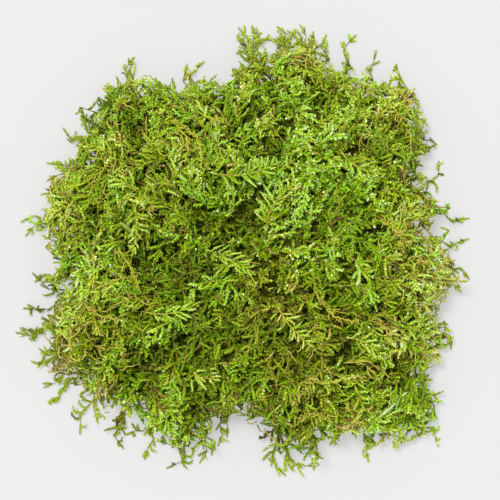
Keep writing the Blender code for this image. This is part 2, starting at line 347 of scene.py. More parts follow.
# %% Bend branches into arcs
def arc(heading, curl, share):
    """Directions and offsets, per unit of length, of branches that curl by an angle."""
    aside = curl - heading * np.sum(curl * heading, axis=-1, keepdims=True)
    angle = np.linalg.norm(curl, axis=-1, keepdims=True) + 1e-6
    aside, turned = unit(aside), angle * share
    direction = heading * np.cos(turned) + aside * np.sin(turned)
    offset = (heading * np.sin(turned) + aside * (1 - np.cos(turned))) / angle
    return direction, offset


straight_end = arc(np.array((1.0, 0, 0)), np.zeros(3), 1.0)[1]
print("a straight branch of length one ends at", straight_end.round(2))

# %% [markdown]
# ## Values along a stem
#
# Branches leave a stem anywhere, not only at the points of its path, so a value between
# two points is mixed from both. The branches of one shoot don't all look alike either:
# each strays a little in colour, the young ones near the tip are paler, and a few are
# dead and brown. Both are helpers that every kind of shoot below uses.

# %% Read along a stem and colour its branches
DEAD_SHARE = 0.045


def interpolate(values, at):
    """Rows of a table read at fractional positions along it."""
    low = np.clip(np.floor(at).astype(int), 0, len(values) - 2)
    share = (at - low)[:, None]
    return values[low] * (1 - share) + values[low + 1] * share


def branch_colours(hue, age, along):
    """Hue and age of the branches of a shoot. The tips are paler, and a few are dead."""
    dead = rng.random(len(along)) < DEAD_SHARE
    hues = hue + rng.normal(0, 0.08 + 0.15 * max(0, hue - 0.3), len(along)) + 0.5 * dead
    ages_and_shades = age + rng.normal(0, 0.105, len(along)) + 0.18 * (along - 0.5) - 0.36 * dead
    return hues, ages_and_shades


print("share of dead branches:", DEAD_SHARE)

# %% [markdown]
# ## A feather shoot
#
# Feather mosses branch like a feather: side branches leave the stem left and right,
# longest in the middle and shorter towards the tip. They aren't quite flat, so every
# branch is rolled a little out of the shoot's plane. They are built in pairs, but each
# branch is moved along the stem by chance, because real ones don't quite face each other.

# %% Put branches on a stem
PAIR_SPACING = 2.2 * MM
BRANCH_ANGLE = math.radians(60)
BRANCHED_SHARE = 0.8
CURL = 0.9


def feather(
    sprigs, stem, reach, roll, hue, age, leaf=1.0, opening=21, spacing=PAIR_SPACING, curling=CURL
):
    """Adds side branches along a stem, and then the leaves on the stem itself."""
    points, headings, outwards = stem
    length = np.sum(np.linalg.norm(np.diff(points, axis=0), axis=1))
    pairs = max(3, int(BRANCHED_SHARE * length / spacing))
    along = np.repeat(np.linspace(0.2, 0.98, pairs), 2)
    along = np.clip(along + rng.normal(0, 0.4 / pairs, len(along)), 0, 1)
    at = along * (len(points) - 1)
    base, heading = interpolate(points, at), unit(interpolate(headings, at))
    outward = unit(interpolate(outwards, at))
    side = unit(np.cross(outward, heading)) * np.tile((1, -1), pairs)[:, None]
    angle = BRANCH_ANGLE * rng.uniform(0.85, 1.15, len(along)) * (1 - 0.35 * along)
    tilt = rng.normal(roll, 0.25, len(along))[:, None]
    across = side * np.cos(tilt) + outward * np.sin(tilt)
    angle = angle[:, None]
    aim = heading * np.cos(angle) + across * np.sin(angle)
    size = reach * (0.65 + 0.45 * np.sin(np.pi * np.clip(along * 0.8 + 0.16, 0, 1)))
    size = size * rng.uniform(0.65, 1.3, len(along)) * (1 - 0.2 * along**3)
    curl = unit(heading * 0.6 + rng.normal(0, 0.5, 3) + rng.normal(0, 0.3, aim.shape))
    curl = curl * rng.normal(curling, 0.5 * curling, (len(along), 1))
    hues, ages_and_shades = branch_colours(hue, age, along)
    sprigs.add(
        base=base, heading=aim, curl=curl, up=outward, length=size,
        leaf=leaf * rng.uniform(0.8, 1.15, len(along)), opening=opening, hue=hues, age=ages_and_shades,
    )
    clothe_stem(sprigs, stem, length, hue, age, leaf, opening)


print("branch angle:", round(math.degrees(BRANCH_ANGLE)), "degrees")

# %% [markdown]
# ## Clothing the stem
#
# Leaves clothe the stem of a feather shoot too. It would be a special case, but short
# straight branches that run along the stem, one after the other, look the same. The stem
# of a green shoot is brown, that of a dry one has nearly the colour of its branches.

# %% Put leaves on the stem itself
OWN_SPACING = 3.2 * MM
OWN_LENGTH = 3.4 * MM
STEM_RADII = (0.34 * MM, 0.17 * MM)
BARK_HUE = 0.71
DRY_HUE = 0.45


def clothe_stem(sprigs, stem, length, hue, age, leaf, opening):
    """Adds short branches that run along a stem, and notes the stem itself."""
    points, headings, outwards = stem
    at = np.linspace(0, len(points) - 1.001, max(2, int(length / OWN_SPACING)))
    sprigs.add(
        base=interpolate(points, at), heading=unit(interpolate(headings, at)), curl=(0, 0, 0),
        up=unit(interpolate(outwards, at)), length=OWN_LENGTH, leaf=0.8 * leaf, opening=opening,
        hue=hue + 0.05, age=age - 0.1,
    )
    bark = BARK_HUE if hue < DRY_HUE else hue - 0.04
    sprigs.stems.append((points, *STEM_RADII, bark + rng.normal(0, 0.10), age - 0.22))


print("short branches along a stem of 20 mm:", int(20 * MM / OWN_SPACING))

# %% [markdown]
# ## An upright tuft
#
# Between the creeping shoots, and most where the mat is fresh, shoot tips stand up and
# face the viewer. From above such a tip is a small star: branches all round a short
# upright stem, each turned on from the last by the golden angle, as plants do it. That
# angle never repeats, so the branches don't line up in rows.

# %% Put branches round an upright stem
GOLDEN_ANGLE = math.pi * (3 - math.sqrt(5))
BRANCH_STEP = 0.50 * MM
TUFT_STEPS = 5
TUFT_RADII = (0.30 * MM, 0.20 * MM)
TUFT_BARK_HUE = 0.55


def tuft(sprigs, place, outward, height, reach, hue, age, tilt=0.5, leaf=1.0, opening=24):
    """Adds a short shoot whose branches turn round the stem."""
    outward = unit(outward + rng.normal(0, tilt, 3))
    steps = np.linspace(0, 1, TUFT_STEPS)[:, None]
    sway = unit(np.cross(outward, rng.normal(0, 1, 3))) * height * 0.15
    points = place - outward * height * (1 - steps) + sway * np.sin(steps * np.pi)
    count = max(5, int(height / BRANCH_STEP))
    along = np.linspace(0.08, 1.0, count)
    turn = GOLDEN_ANGLE * np.arange(count) + rng.uniform(0, 6.28)
    right = unit(np.cross(outward, (0.3, 0.5, 0.8)))
    ahead = np.cross(outward, right)
    spoke = np.cos(turn)[:, None] * right + np.sin(turn)[:, None] * ahead
    open_angle = (1.2 - 0.75 * along**2)[:, None] * rng.uniform(0.8, 1.2, (count, 1))
    aim = outward * np.cos(open_angle) + spoke * np.sin(open_angle)
    curl = unit(rng.normal(0, 1, (count, 3))) * rng.normal(CURL, 0.5 * CURL, (count, 1))
    hues, ages_and_shades = branch_colours(hue, age, along)
    sprigs.add(
        base=interpolate(points, along * (TUFT_STEPS - 1) * 0.999), heading=aim, curl=curl,
        up=outward, length=reach * (1.1 - 0.45 * along) * rng.uniform(0.7, 1.25, count),
        leaf=leaf * rng.uniform(0.85, 1.15, count), opening=opening, hue=hues, age=ages_and_shades,
    )
    sprigs.stems.append((points, *TUFT_RADII, TUFT_BARK_HUE, age - 0.3))


print("golden angle:", round(math.degrees(GOLDEN_ANGLE), 1), "degrees")

# %% [markdown]
# ## The colour of a plant
#
# A colour is noted as a hue and an age. Hue runs from fresh green at 0 over olive and
# straw to brown at 1, and age from old and dark at 0 to young and pale at 1. Age also
# carries painted shade: it is lowered in the hollows. Both come from the spots, from smooth
# noise for whole neighbourhoods and from a little chance for the single plant. Near the
# table the moss is browner, and out at the rim a bit darker. In the fresh patches the
# branches are short and close, and elsewhere long and loose.

# %% Say what the moss is like at a place
HUE_MIDDLE = 0.205
HUE_PATCH = 9 * MM
BROWNER_BELOW = 14 * MM
AGE_MIDDLE = 0.47
AGE_PATCH = 11 * MM
HOLLOW_SHADE = 0.34
DARKER_BEYOND = 55 * MM
COARSEST = 1.15
FINEST_AT = 0.16


def colours_at(places):
    """Hue and age of the plants at many places, from the spots and from smooth noise. The age also
    carries painted shade in the hollows.
    """
    hue = HUE_MIDDLE + spots_at(DRY_SPOTS, places) - 0.32 * spots_at(FRESH_SPOTS, places)
    hue += 0.07 * patchy(places, HUE_PATCH, 1) + rng.normal(0, 0.09, len(places))
    hue += 0.10 * np.clip(1 - places[:, 2] / BROWNER_BELOW, 0, 1)
    age = AGE_MIDDLE + 0.18 * patchy(places, AGE_PATCH, 2) + rng.normal(0, 0.10, len(places))
    # Painted shade: plants in the hollows are darkened.
    age -= HOLLOW_SHADE * np.clip(spots_at(HOLLOWS, places), 0, 1)
    age += 0.20 * spots_at(FRESH_SPOTS, places) + spots_at(PALE_SPOTS, places)
    age -= 0.06 * np.clip(np.hypot(places[:, 0], places[:, 1]) / DARKER_BEYOND - 1, 0, 0.5)
    return hue, age


def coarseness(place):
    """How long the branches are at a place: short where the moss is fresh."""
    return COARSEST - 3.0 * min(FINEST_AT, spots_at(FRESH_SPOTS, place[None])[0])


print("mean hue of the places:", colours_at(starts)[0].mean().round(2))

# %% [markdown]
# ## Sorting the plants
#
# Before a plant grows, three things about its place are needed: the way the mat faces
# there, the piece of the carpet that the plant is joined to, and whether the place is
# well inside the mat's outline. At the thin rim too many plants would hide the notches,
# so many of them are left out there. A ray sent up from under the table tells whether
# the mat is above a place that lies a little further out. One helper puts all that is
# known about a plant side by side, so that every loop below starts the same way.

# %% Find facings, pieces and the rim
MIDDLE_RADIUS = 36 * MM
RIM_WIDTH = 5 * MM
RIM_SHARE = 0.25


def facings(places):
    """The way the mat's surface faces near many places."""
    return np.array([surface.find_nearest(place)[1][:] for place in places])


def sector_of(places):
    """The number of the carpet piece that a plant at each place belongs to."""
    quarter = 1 + (np.arctan2(places[:, 1], places[:, 0]) + math.pi) // (math.pi / 2)
    inside = np.hypot(places[:, 0], places[:, 1]) < MIDDLE_RADIUS
    return np.where(inside, 0, quarter).astype(int).clip(0, 4)


def over_mat(places, margin):
    """Which places still have the mat above the table when moved outwards by a margin."""
    outside = places + unit(places * (1, 1, 0)) * margin
    rays = (surface.ray_cast(Vector((x, y, -0.05)), Vector((0, 0, 1)))[0] for x, y, _ in outside)
    return np.array([hit is not None for hit in rays])


def thin_rim(places, share):
    """The places well inside the mat's outline, and by chance a share of the others."""
    return places[over_mat(places, RIM_WIDTH) | (rng.random(len(places)) < share)]


def plants_at(places, *more):
    """Place, facing, piece, hue and age of the plants at many places, and what more is given."""
    return zip(places, facings(places), sector_of(places), *colours_at(places), *more)


carpet = [Sprigs() for _ in range(5)]
print("places in the middle piece:", np.sum(sector_of(starts) == 0), "of", len(starts))

# %% [markdown]
# ## Covering the top
#
# The top of the mat gets upright tufts first, close together. Each starts a little below
# the surface, at a depth of its own, or the mat would look mown. Where the moss is
# coarse, they start deeper, and their colour is darkened as painted shade, because the
# creeping shoots lie over them.

# %% Cover the top with tufts
TOP_FACING = 0.3
TUFT_SPACING = 3.6 * MM

starts = thin_rim(throw_darts(TUFT_SPACING, TOP_FACING), RIM_SHARE)
for place, facing, sector, hue, age in plants_at(starts):
    coarse = coarseness(place)
    depth = (rng.uniform(0.5, 4.0) * coarse + 1.2) * MM
    height = rng.uniform(3.5, 5.5) * MM
    reach = rng.uniform(2.6, 4.6) * coarse * MM
    leaf = rng.uniform(0.95, 1.15) * (1.4 - 0.35 * coarse)
    tuft(
        carpet[sector], place - facing * depth, facing, height, reach, hue, age - 0.10 * coarse,
        leaf=leaf, opening=23 + 32 * (COARSEST - coarse),
    )
print("tufts:", len(starts))

# %% [markdown]
# ## Letting feathers creep
#
# Over the tufts run the feather shoots that give the moss its look. A mat spreads, so
# most of them head outwards. Near the middle they swirl: there, smooth noise and chance
# turn them more. A shoot is laid half before its place and half behind it, with its foot
# deep and its tip at the surface. Its age is set a little higher than the tufts', so it
# is paler: painted light on the top layer.

# %% Let feathers creep over the tufts
FEATHER_SPACING = 4.6 * MM
FOOT_DEPTH = 5 * MM
SWIRL = 1.25

starts = thin_rim(throw_darts(FEATHER_SPACING, TOP_FACING), 2 * RIM_SHARE)
bearing = np.arctan2(starts[:, 1], starts[:, 0])
inward = np.clip(1.8 - np.hypot(starts[:, 0], starts[:, 1]) / (40 * MM), 0.35, 1.8)
turns = bearing + inward * (patchy(starts, 16 * MM, 3) * SWIRL + rng.normal(0, 0.7, len(starts)))
for place, _, sector, hue, age, turn in plants_at(starts, turns):
    heading = Vector((math.cos(turn), math.sin(turn), 0))
    length = rng.uniform(8, 20) * MM
    behind = Vector(place) - heading * length * 0.5
    tip_depth = rng.uniform(-0.8, 2.2) * MM
    stem = creep(behind, heading, length, FOOT_DEPTH, tip_depth, rng.normal(0, 0.12))
    coarse = coarseness(place)
    reach = rng.uniform(3.1, 5.5) * coarse**1.5 * MM
    feather(
        carpet[sector], stem, reach, rng.normal(0.15, 0.3), hue, age + 0.08,
        leaf=1.55 - 0.4 * coarse, opening=21 + 25 * (COARSEST - coarse),
        spacing=PAIR_SPACING * (0.7 + 0.3 * coarse),
    )
print("creeping feathers:", len(starts))

# %% [markdown]
# ## Clothing the sides
#
# Seen from the side, and all round the outline from above, the moss is ragged: loosely
# branched shoots with curly, narrow branches come out of it. They start from the steep
# faces of the mat. Most of them end well inside it, and only a few reach past it.

# %% Let shoots come out of the sides
SIDE_SPACING = 4.6 * MM
SIDE_FACINGS = (-0.7, 0.45)
SIDE_PAIR_SPACING = 2.6 * MM
SIDE_CURL = 1.7

starts = throw_darts(SIDE_SPACING, *SIDE_FACINGS)
for place, facing, sector, hue, age in plants_at(starts):
    end = place + facing * min(7, rng.exponential(4.0) - 7.0) * MM
    stem = reach_out(end, facing, rng.uniform(8, 17) * MM)
    reach = rng.uniform(3.4, 6.2) * MM
    feather(
        carpet[sector], stem, reach, rng.normal(0, 0.5), hue, age,
        leaf=1.15, opening=14, spacing=SIDE_PAIR_SPACING, curling=SIDE_CURL,
    )
print("side shoots:", len(starts))

# %% [markdown]
# ## Filling the depth
#
# Between the shoots one sees older ones deeper in. Without them the gaps would show bare
# felt. They are tufts too, a few millimetres down. In the hollows, where the darts landed
# further apart, they are darkened as painted shade, come nearer to the surface, and clothe
# the walls.

# %% Fill the depth with old shoots
OLD_SPACING = 4.0 * MM
OLD_FACING = -0.2
OLD_HEIGHT = 4 * MM

old = Sprigs()
starts = throw_darts(OLD_SPACING, OLD_FACING, thinning=0)
starts = starts[over_mat(starts, RIM_WIDTH)]
# In the hollows this amount darkens the old shoots, a painted shade, and lifts them.
hollow_lifts_and_shades = 0.28 * np.clip(spots_at(HOLLOWS, starts), 0, 1)
for place, facing, _, hue, age, hollow_lift_and_shade in plants_at(starts, hollow_lifts_and_shades):
    depth = (rng.uniform(3.2, 4.6) - 7 * hollow_lift_and_shade) * MM
    reach = rng.uniform(3.5, 5.5) * MM
    tuft(
        old, place - facing * depth, facing, OLD_HEIGHT, reach,
        hue + 0.02, age - hollow_lift_and_shade - 0.03, leaf=1.2,
    )
print("old shoots:", len(starts))

# %% [markdown]
# ## Keeping tips where they belong
#
# Branches now point every way, and some would poke far out of the clump, or through the
# table. Where a tip would land too high, the whole branch is turned back towards the mat,
# and where it would go through the table it is turned up. They could be cut instead, but
# then the moss would look trimmed, like a hedge. A turned branch keeps its length.

# %% Turn stray branches back
TABLE_GAP = 0.8 * MM
TURNS = 3


def tips_of(rows):
    """Where the branches of a table end."""
    offset = arc(rows["heading"], rows["curl"], 1.0)[1]
    return rows["base"] + offset * rows["length"][:, None]


def steer(rows, pushes):
    """Turns the branches so that their tips move by about the given amounts."""
    rows["heading"][:] = unit(rows["heading"] + pushes / rows["length"][:, None])


def tame(rows, highest):
    """Turns tips back below a height over the mat. Returns how high over it each one is."""
    for _ in range(TURNS):
        tips = tips_of(rows)
        pushes, heights = np.zeros_like(tips), np.zeros(len(tips))
        for index, tip in enumerate(tips):
            nearest, outward, _, _ = surface.find_nearest(tip)
            height = (Vector(tip) - nearest).dot(outward)
            heights[index] = min(height, highest[index])
            pushes[index] = np.array(outward) * (heights[index] - height)
        steer(rows, pushes)
    lift_off_table(rows)
    return heights


def lift_off_table(rows):
    """Turns up the branches whose tips would go through the table."""
    rows["base"][:, 2] = np.maximum(rows["base"][:, 2], TABLE_GAP)
    for _ in range(TURNS):
        sunk = np.maximum(0, TABLE_GAP - tips_of(rows)[:, 2])
        steer(rows, sunk[:, None] * np.array((0, 0, 1.3)))


print("gap over the table:", TABLE_GAP / MM, "mm")

# %% [markdown]
# ## Turning back the whole carpet
#
# The height that a tip may reach is drawn for each branch, or the surface would be as
# smooth as the imported solid. Near the table the moss may stand out further, which makes
# the outline ragged. Branches that end deep in the mat are darker by how deep they end:
# partly their own colour, as such leaves are older, and partly painted shade, as less
# light gets down there. Their age is lowered by that depth.

# %% Turn back the carpet and darken its depth
TIP_HEIGHT = (0.6, 0.9)
HIGHEST_TIP = 5 * MM
LOW_MOSS = 16 * MM
DEPTH_SHADE = 0.05

tables = []
for plants in (*carpet, old):
    rows = plants.table()
    highest = rng.normal(*TIP_HEIGHT, len(rows["base"])) * MM
    low = np.clip(1 - rows["base"][:, 2] / LOW_MOSS, 0, 1)
    highest += low * rng.exponential(1.2, len(rows["base"])) * MM
    heights = tame(rows, np.minimum(highest, HIGHEST_TIP))
    # Painted shade, partly real: the deeper a branch ends, the darker it is.
    if plants is not old:
        rows["age"] += DEPTH_SHADE * (np.clip(heights / MM, -4, 0.5) + 1.3)
    tables.append(rows)
print("branches:", sum(len(rows["base"]) for rows in tables))

# %% [markdown]
# ## Leaves and the little pictures on them
#
# A leaf is two triangles that meet along its midrib like a shallow roof, so that one half
# catches the light while the other is in shade. That fold is what makes real moss
# glitter. The colours come from a chart instead of an image: twelve columns of hue by ten
# rows of age make 120 little cells, and the UV map puts every leaf into one cell. Age here
# also carries the painted shade and the painted glints. The material reads hue and age
# from the cell, and the place on the leaf from inside it. A value between two cells goes
# up or down by chance, with one draw for a whole branch, because branches whose leaves each
# drew for themselves would look speckled.

# %% Lay out the colour chart
HUE_CELLS = 12
AGE_CELLS = 10
CELL_MARGIN = 0.06
CHART = "OFBake"


def cell_uv(hue, age, chance, across, along):
    """The place on the chart of a point of a leaf. Chance, 0 to 1, rounds down or up."""
    column = np.floor(np.clip(hue, 0, 0.999) * (HUE_CELLS - 1) + chance[0])
    row = np.floor(np.clip(age, 0, 0.999) * (AGE_CELLS - 1) + chance[1])
    inner = 1 - 2 * CELL_MARGIN
    u = (column[..., None] + CELL_MARGIN + inner * np.asarray(across)) / HUE_CELLS
    v = (row[..., None] + CELL_MARGIN + inner * np.asarray(along)) / AGE_CELLS
    return np.stack(np.broadcast_arrays(u, v), axis=-1)


print("cells:", HUE_CELLS * AGE_CELLS)

# %% [markdown]
# ## From rows to leaves
#
# Along each branch the leaves stand in a spiral, each a golden angle on from the last.
# NumPy repeats each branch's row once for every leaf on it, and works out where all the
# leaves sit together. The spiral of each branch starts at a turn of its own.

# %% Find where the leaves sit
LEAF_SPACING = 0.36 * MM
FEWEST_LEAVES = 3


def leaf_counts(rows):
    """How many leaves each branch of a table has."""
    return np.maximum(FEWEST_LEAVES, (rows["length"] / (LEAF_SPACING * rows["leaf"])).astype(int))


def leaf_places(rows):
    """The branch of every leaf, how far along it the leaf sits, where, and which way out."""
    counts = leaf_counts(rows)
    owner = np.repeat(np.arange(len(counts)), counts)
    order = np.arange(len(owner)) - np.repeat(np.cumsum(counts) - counts, counts)
    along = ((order + 0.6) / counts[owner])[:, None]
    base, heading, curl, up = (rows[key][owner] for key in PLACE_FIELDS)
    tangent, offset = arc(heading, curl, along)
    centre = base + offset * rows["length"][owner][:, None]
    right = unit(np.cross(tangent, up))
    above = np.cross(right, tangent)
    turn = (order * GOLDEN_ANGLE + rng.random(len(counts))[owner] * 6.28)[:, None]
    spoke = right * np.cos(turn) + above * np.sin(turn)
    return owner, along, centre, tangent, spoke


print("leaves on the carpet:", sum(leaf_counts(rows).sum() for rows in tables))

# %% [markdown]
# ## The shape of a leaf
#
# Moss leaves point forward along the branch, and open from it by an angle. They are
# smaller at the foot and at the tip of a branch, and at the tip they close up to a
# point. A leaf's foot and tip lie on the ridge of its little roof, and its two sides are
# set back towards the branch.

# %% Place the corners of the leaves
LEAF_LENGTH = 0.90 * MM
LEAF_WIDTH = 0.92 * MM
LEAF_WAIST = 0.45
LEAF_CUP = 0.16 * MM
CORE_RADIUS = 0.42 * MM


def leaf_corners(rows, owner, along, centre, tangent, spoke):
    """Foot, left side, tip and right side of every leaf, one after the other."""
    taper = (1 - 0.35 * along**4) * (0.75 + 0.5 * np.minimum(1, along * 5) / 2)
    size = rows["leaf"][owner][:, None] * taper * rng.uniform(0.8, 1.2, (len(owner), 1))
    opening = np.radians(rows["opening"])[owner][:, None] * (1 - 0.25 * along**2)
    opening = opening * rng.uniform(0.7, 1.3, (len(owner), 1))
    axis = tangent * np.cos(opening) + spoke * np.sin(opening)
    outside = spoke * np.cos(opening) - tangent * np.sin(opening)
    width = np.cross(tangent, spoke)
    foot = centre + spoke * CORE_RADIUS * 0.8 * size
    tip = foot + axis * LEAF_LENGTH * size
    waist = foot + axis * LEAF_LENGTH * size * LEAF_WAIST - outside * LEAF_CUP * size
    left = waist - width * LEAF_WIDTH / 2 * size
    right = waist + width * LEAF_WIDTH / 2 * size
    return np.stack((foot, left, tip, right), axis=1).reshape(-1, 3)


print("leaf:", LEAF_LENGTH / MM, "by", LEAF_WIDTH / MM, "mm")

# %% [markdown]
# ## The colour of a leaf
#
# Every leaf strays a little from the colour of its branch, and those near the tip are
# younger. A few young green leaves catch the window's light. They are given the palest age
# of the chart, which no other leaf reaches, and stand for the white glints in the
# photograph. Then the leaf's four corners are tied to its cell of the chart.

# %% Make leaves for a table of branches
GLINT_SHARE = 0.21
RIPEST = 0.8
CORNERS_ACROSS = (0.5, 0.0, 0.5, 1.0)
CORNERS_ALONG = (0.0, LEAF_WAIST, 1.0, LEAF_WAIST)
LEFT_AND_RIGHT = (0, 2, 1, 0, 3, 2)


def leaf_parts(rows):
    """Corner points, triangles and chart places of all leaves on a table of branches."""
    owner, along, centre, tangent, spoke = leaf_places(rows)
    points = leaf_corners(rows, owner, along, centre, tangent, spoke)
    first = np.arange(len(owner))[:, None] * 4
    triangles = (first + np.array(LEFT_AND_RIGHT)).reshape(-1, 3)
    hue = rows["hue"][owner] + rng.normal(0, 0.02, len(owner))
    age = rows["age"][owner] + 0.12 * (along[:, 0] - 0.5) + rng.normal(0, 0.05, len(owner))
    glints = rng.random(len(owner)) < GLINT_SHARE * (age - 0.35) * (1.6 - 2 * hue)
    age = np.where(glints, 1, np.minimum(age, RIPEST))
    chance = rng.random((2, len(rows["base"])))[:, owner]
    corner = cell_uv(hue, age, chance, CORNERS_ACROSS, CORNERS_ALONG)
    places = corner[:, LEFT_AND_RIGHT].reshape(-1, 2)
    return points, triangles, places, False


print("largest share of glints:", round(GLINT_SHARE * (RIPEST - 0.35) * 1.6, 2))

# %% [markdown]
# ## Twigs and stems
#
# Under the leaves runs a thin stem, and dry moss is little else. Three sides are enough
# for something half a millimetre thick. A curve with a bevel would do for a few stems, but
# here are thousands. So one function builds them all together: it takes the points of
# many paths, sets a small triangle round each point and joins one to the next.

# %% Make three-sided tubes
TUBE_SIDES = 3


def tube_parts(paths, radii, hue, age):
    """Three-sided tubes round many paths of the same number of points."""
    count, steps, _ = paths.shape
    tangent = unit(np.gradient(paths, axis=1))
    helper = np.broadcast_to(np.array((0.31, 0.17, 0.93)), tangent.shape)
    right = unit(np.cross(tangent, helper))
    above = np.cross(right, tangent)
    turn = np.arange(TUBE_SIDES) * 2 * math.pi / TUBE_SIDES
    ring = right[:, :, None] * np.cos(turn)[:, None] + above[:, :, None] * np.sin(turn)[:, None]
    points = (paths[:, :, None] + ring * radii[:, :, None, None]).reshape(-1, 3)
    tube = np.arange(count)[:, None, None] * steps * TUBE_SIDES
    step = np.arange(steps - 1)[None, :, None] * TUBE_SIDES
    side = np.arange(TUBE_SIDES)[None, None, :]
    after = (side + 1) % TUBE_SIDES
    a, b = tube + step + side, tube + step + after
    c, d = a + TUBE_SIDES, b + TUBE_SIDES
    quads = np.stack(np.broadcast_arrays(a, b, d, a, d, c), axis=-1)
    triangles = quads.reshape(-1, 3)
    left = np.arange(TUBE_SIDES)[None, :, None] / TUBE_SIDES
    low = np.linspace(0, 1, steps)[:-1, None, None]
    across = left + np.array((0, 1, 1, 0, 1, 0)) / TUBE_SIDES
    along = low + np.array((0, 0, 1, 0, 1, 1)) / (steps - 1)
    across, along = (grid.ravel() for grid in np.broadcast_arrays(across, along))
    corner = cell_uv(hue, age, rng.random((2, count)), across, along)
    return points, triangles, corner.reshape(-1, 2), True


print("sides of a stem:", TUBE_SIDES)

# %% [markdown]
# ## The tubes of the branches and of the stems
#
# Every branch has a twig inside, which closes the gaps between its leaves. The twig is a
# little darker than its branch, a painted shade under the leaves. A short twig is bent once
# and a long one twice, which is enough because the leaves hide it. Tubes that are built
# together need the same number of points, so the twigs come in two batches, and the stems
# in one batch for each number of points.

# %% Make the twigs and the stems
SHORT_TWIG = 3.6 * MM


def twig_parts(rows):
    """The thin stem inside every branch, in two pieces if short and in three if long."""
    short = rows["length"] < SHORT_TWIG
    for chosen, share, thickness in (
        (short, (0.0, 0.55, 0.97), (0.8, 1.0, 0.6)),
        (~short, (0.0, 0.38, 0.75, 0.98), (0.75, 1.0, 0.95, 0.5)),
    ):
        heading, curl = rows["heading"][chosen][:, None], rows["curl"][chosen][:, None]
        offset = arc(heading, curl, np.array(share)[None, :, None])[1]
        paths = rows["base"][chosen][:, None] + offset * rows["length"][chosen][:, None, None]
        radii = np.array(thickness) * CORE_RADIUS * rows["leaf"][chosen][:, None]
        yield tube_parts(paths, radii, rows["hue"][chosen] + 0.02, rows["age"][chosen] - 0.06)


def stem_parts(stems):
    """The stems that carry the branches, a batch for each number of points."""
    batches = {}
    for points, thick, thin, hue, age in stems:
        batches.setdefault(len(points), []).append((points, thick, thin, hue, age))
    for steps, batch in batches.items():
        paths = np.array([row[0] for row in batch])
        radii = np.array([np.linspace(row[1], row[2], steps) for row in batch])
        hue, age = np.array([row[3] for row in batch]), np.array([row[4] for row in batch])
        yield tube_parts(paths, radii, hue, age)


short_share = np.mean(np.concatenate([rows["length"] for rows in tables]) < SHORT_TWIG)
print("share of short twigs:", short_share.round(2))

# %% [markdown]
# ## One mesh from many parts
#
# Blender can take whole arrays of points and faces at once with foreach_set, which is
# far quicker than adding them one by one. Tubes are shaded smooth, and leaves flat, so
# that the fold along the midrib stays sharp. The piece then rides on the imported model's
# body and replaces the plain solid that stood for it. Each piece prints its triangles.

# %% Join parts into a piece
LOWEST_POINT = 0.05 * MM


def moss_piece(name, parts, material, replaced):
    """A finished piece made of points, triangles, chart places and which parts are round."""
    parts = list(parts)
    starts_at = np.cumsum([0] + [len(part[0]) for part in parts[:-1]])
    points = np.concatenate([part[0] for part in parts])
    triangles = np.concatenate([part[1] + at for part, at in zip(parts, starts_at)])
    places = np.concatenate([part[2] for part in parts])
    round_ones = np.concatenate([np.full(len(part[1]), part[3]) for part in parts])
    points[:, 2] = np.maximum(points[:, 2], LOWEST_POINT)
    mesh = bpy.data.meshes.new(name)
    mesh.vertices.add(len(points))
    mesh.vertices.foreach_set("co", points.ravel())
    mesh.loops.add(triangles.size)
    mesh.loops.foreach_set("vertex_index", triangles.ravel().astype(np.int32))
    mesh.polygons.add(len(triangles))
    mesh.polygons.foreach_set("loop_start", np.arange(0, triangles.size, 3, dtype=np.int32))
    mesh.polygons.foreach_set("use_smooth", round_ones)
    chart = mesh.uv_layers.new(name=CHART)
    chart.data.foreach_set("uv", places.ravel().astype(np.float32))
    mesh.materials.append(material)
    mesh.update(calc_edges=True)
    piece = bpy.data.objects.new(name, mesh)
    bpy.context.scene.collection.objects.link(piece)
    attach(piece, "root")
    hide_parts(replaced)
    print(name, len(triangles), "triangles")


print("lowest point of a piece:", LOWEST_POINT / MM, "mm")

# %% [markdown]
# ## Wiring nodes in code
#
# A material is a tree of nodes. In the editor one adds nodes and draws links by hand, and
# in a script each of these takes a few lines. A few helpers say them once: one adds any
# node, and the others add a Math, Color Ramp or Mix node that is already linked. Every
# node also gets a place, so that the tree can be read in the editor. The last one starts a
# finish, and sets what is the same all over its surface on the shader itself.

# %% Say how nodes are added and linked
def wire(tree, kind, x, y, **settings):
    """A new node at a place in the editor, with its settings."""
    node = tree.nodes.new(kind)
    node.location = (x, y)
    for key, value in settings.items():
        setattr(node, key, value)
    return node


def arithmetic(tree, operation, first, second, x, y, clamp=False):
    """A Math node fed by a socket and by a number or another socket."""
    node = wire(tree, "ShaderNodeMath", x, y, operation=operation, use_clamp=clamp)
    for socket, value in zip(node.inputs, (first, second)):
        if isinstance(value, (int, float)):
            socket.default_value = value
        elif value is not None:
            tree.links.new(value, socket)
    return node.outputs[0]


def ramp(tree, factor, stops, x, y):
    """A colour ramp with given stops, each a position and a colour or a grey."""
    node = wire(tree, "ShaderNodeValToRGB", x, y)
    for index, (position, colour) in enumerate(stops):
        if index < 2:
            element = node.color_ramp.elements[index]
            element.position = position
        else:
            element = node.color_ramp.elements.new(position)
        element.color = (*colour, 1) if isinstance(colour, tuple) else (colour, colour, colour, 1)
    tree.links.new(factor, node.inputs[0])
    return node.outputs[0]


def blended(tree, mode, factor, first, second, x, y):
    """A colour Mix node. Factor and colours are sockets or plain values."""
    node = wire(tree, "ShaderNodeMix", x, y, data_type="RGBA", blend_type=mode)
    for socket, value in zip((node.inputs[0], *node.inputs[6:8]), (factor, first, second)):
        if isinstance(value, (int, float, tuple)):
            socket.default_value = value
        else:
            tree.links.new(value, socket)
    return node.outputs[2]


SHADER_SOCKETS = {
    "colour": "Base Color", "roughness": "Roughness", "shine": "Specular IOR Level",
    "glow": "Emission Color", "glow_strength": "Emission Strength",
}


def new_finish(name, **plain):
    """A material, its nodes and its shader, with the shader's plain values set by name."""
    material = bpy.data.materials.new(name)
    material.use_nodes = True
    shader = material.node_tree.nodes["Principled BSDF"]
    for socket, value in plain.items():
        shader.inputs[SHADER_SOCKETS[socket]].default_value = value
    return material, material.node_tree, shader


print("sockets with plain values:", ", ".join(SHADER_SOCKETS.values()))
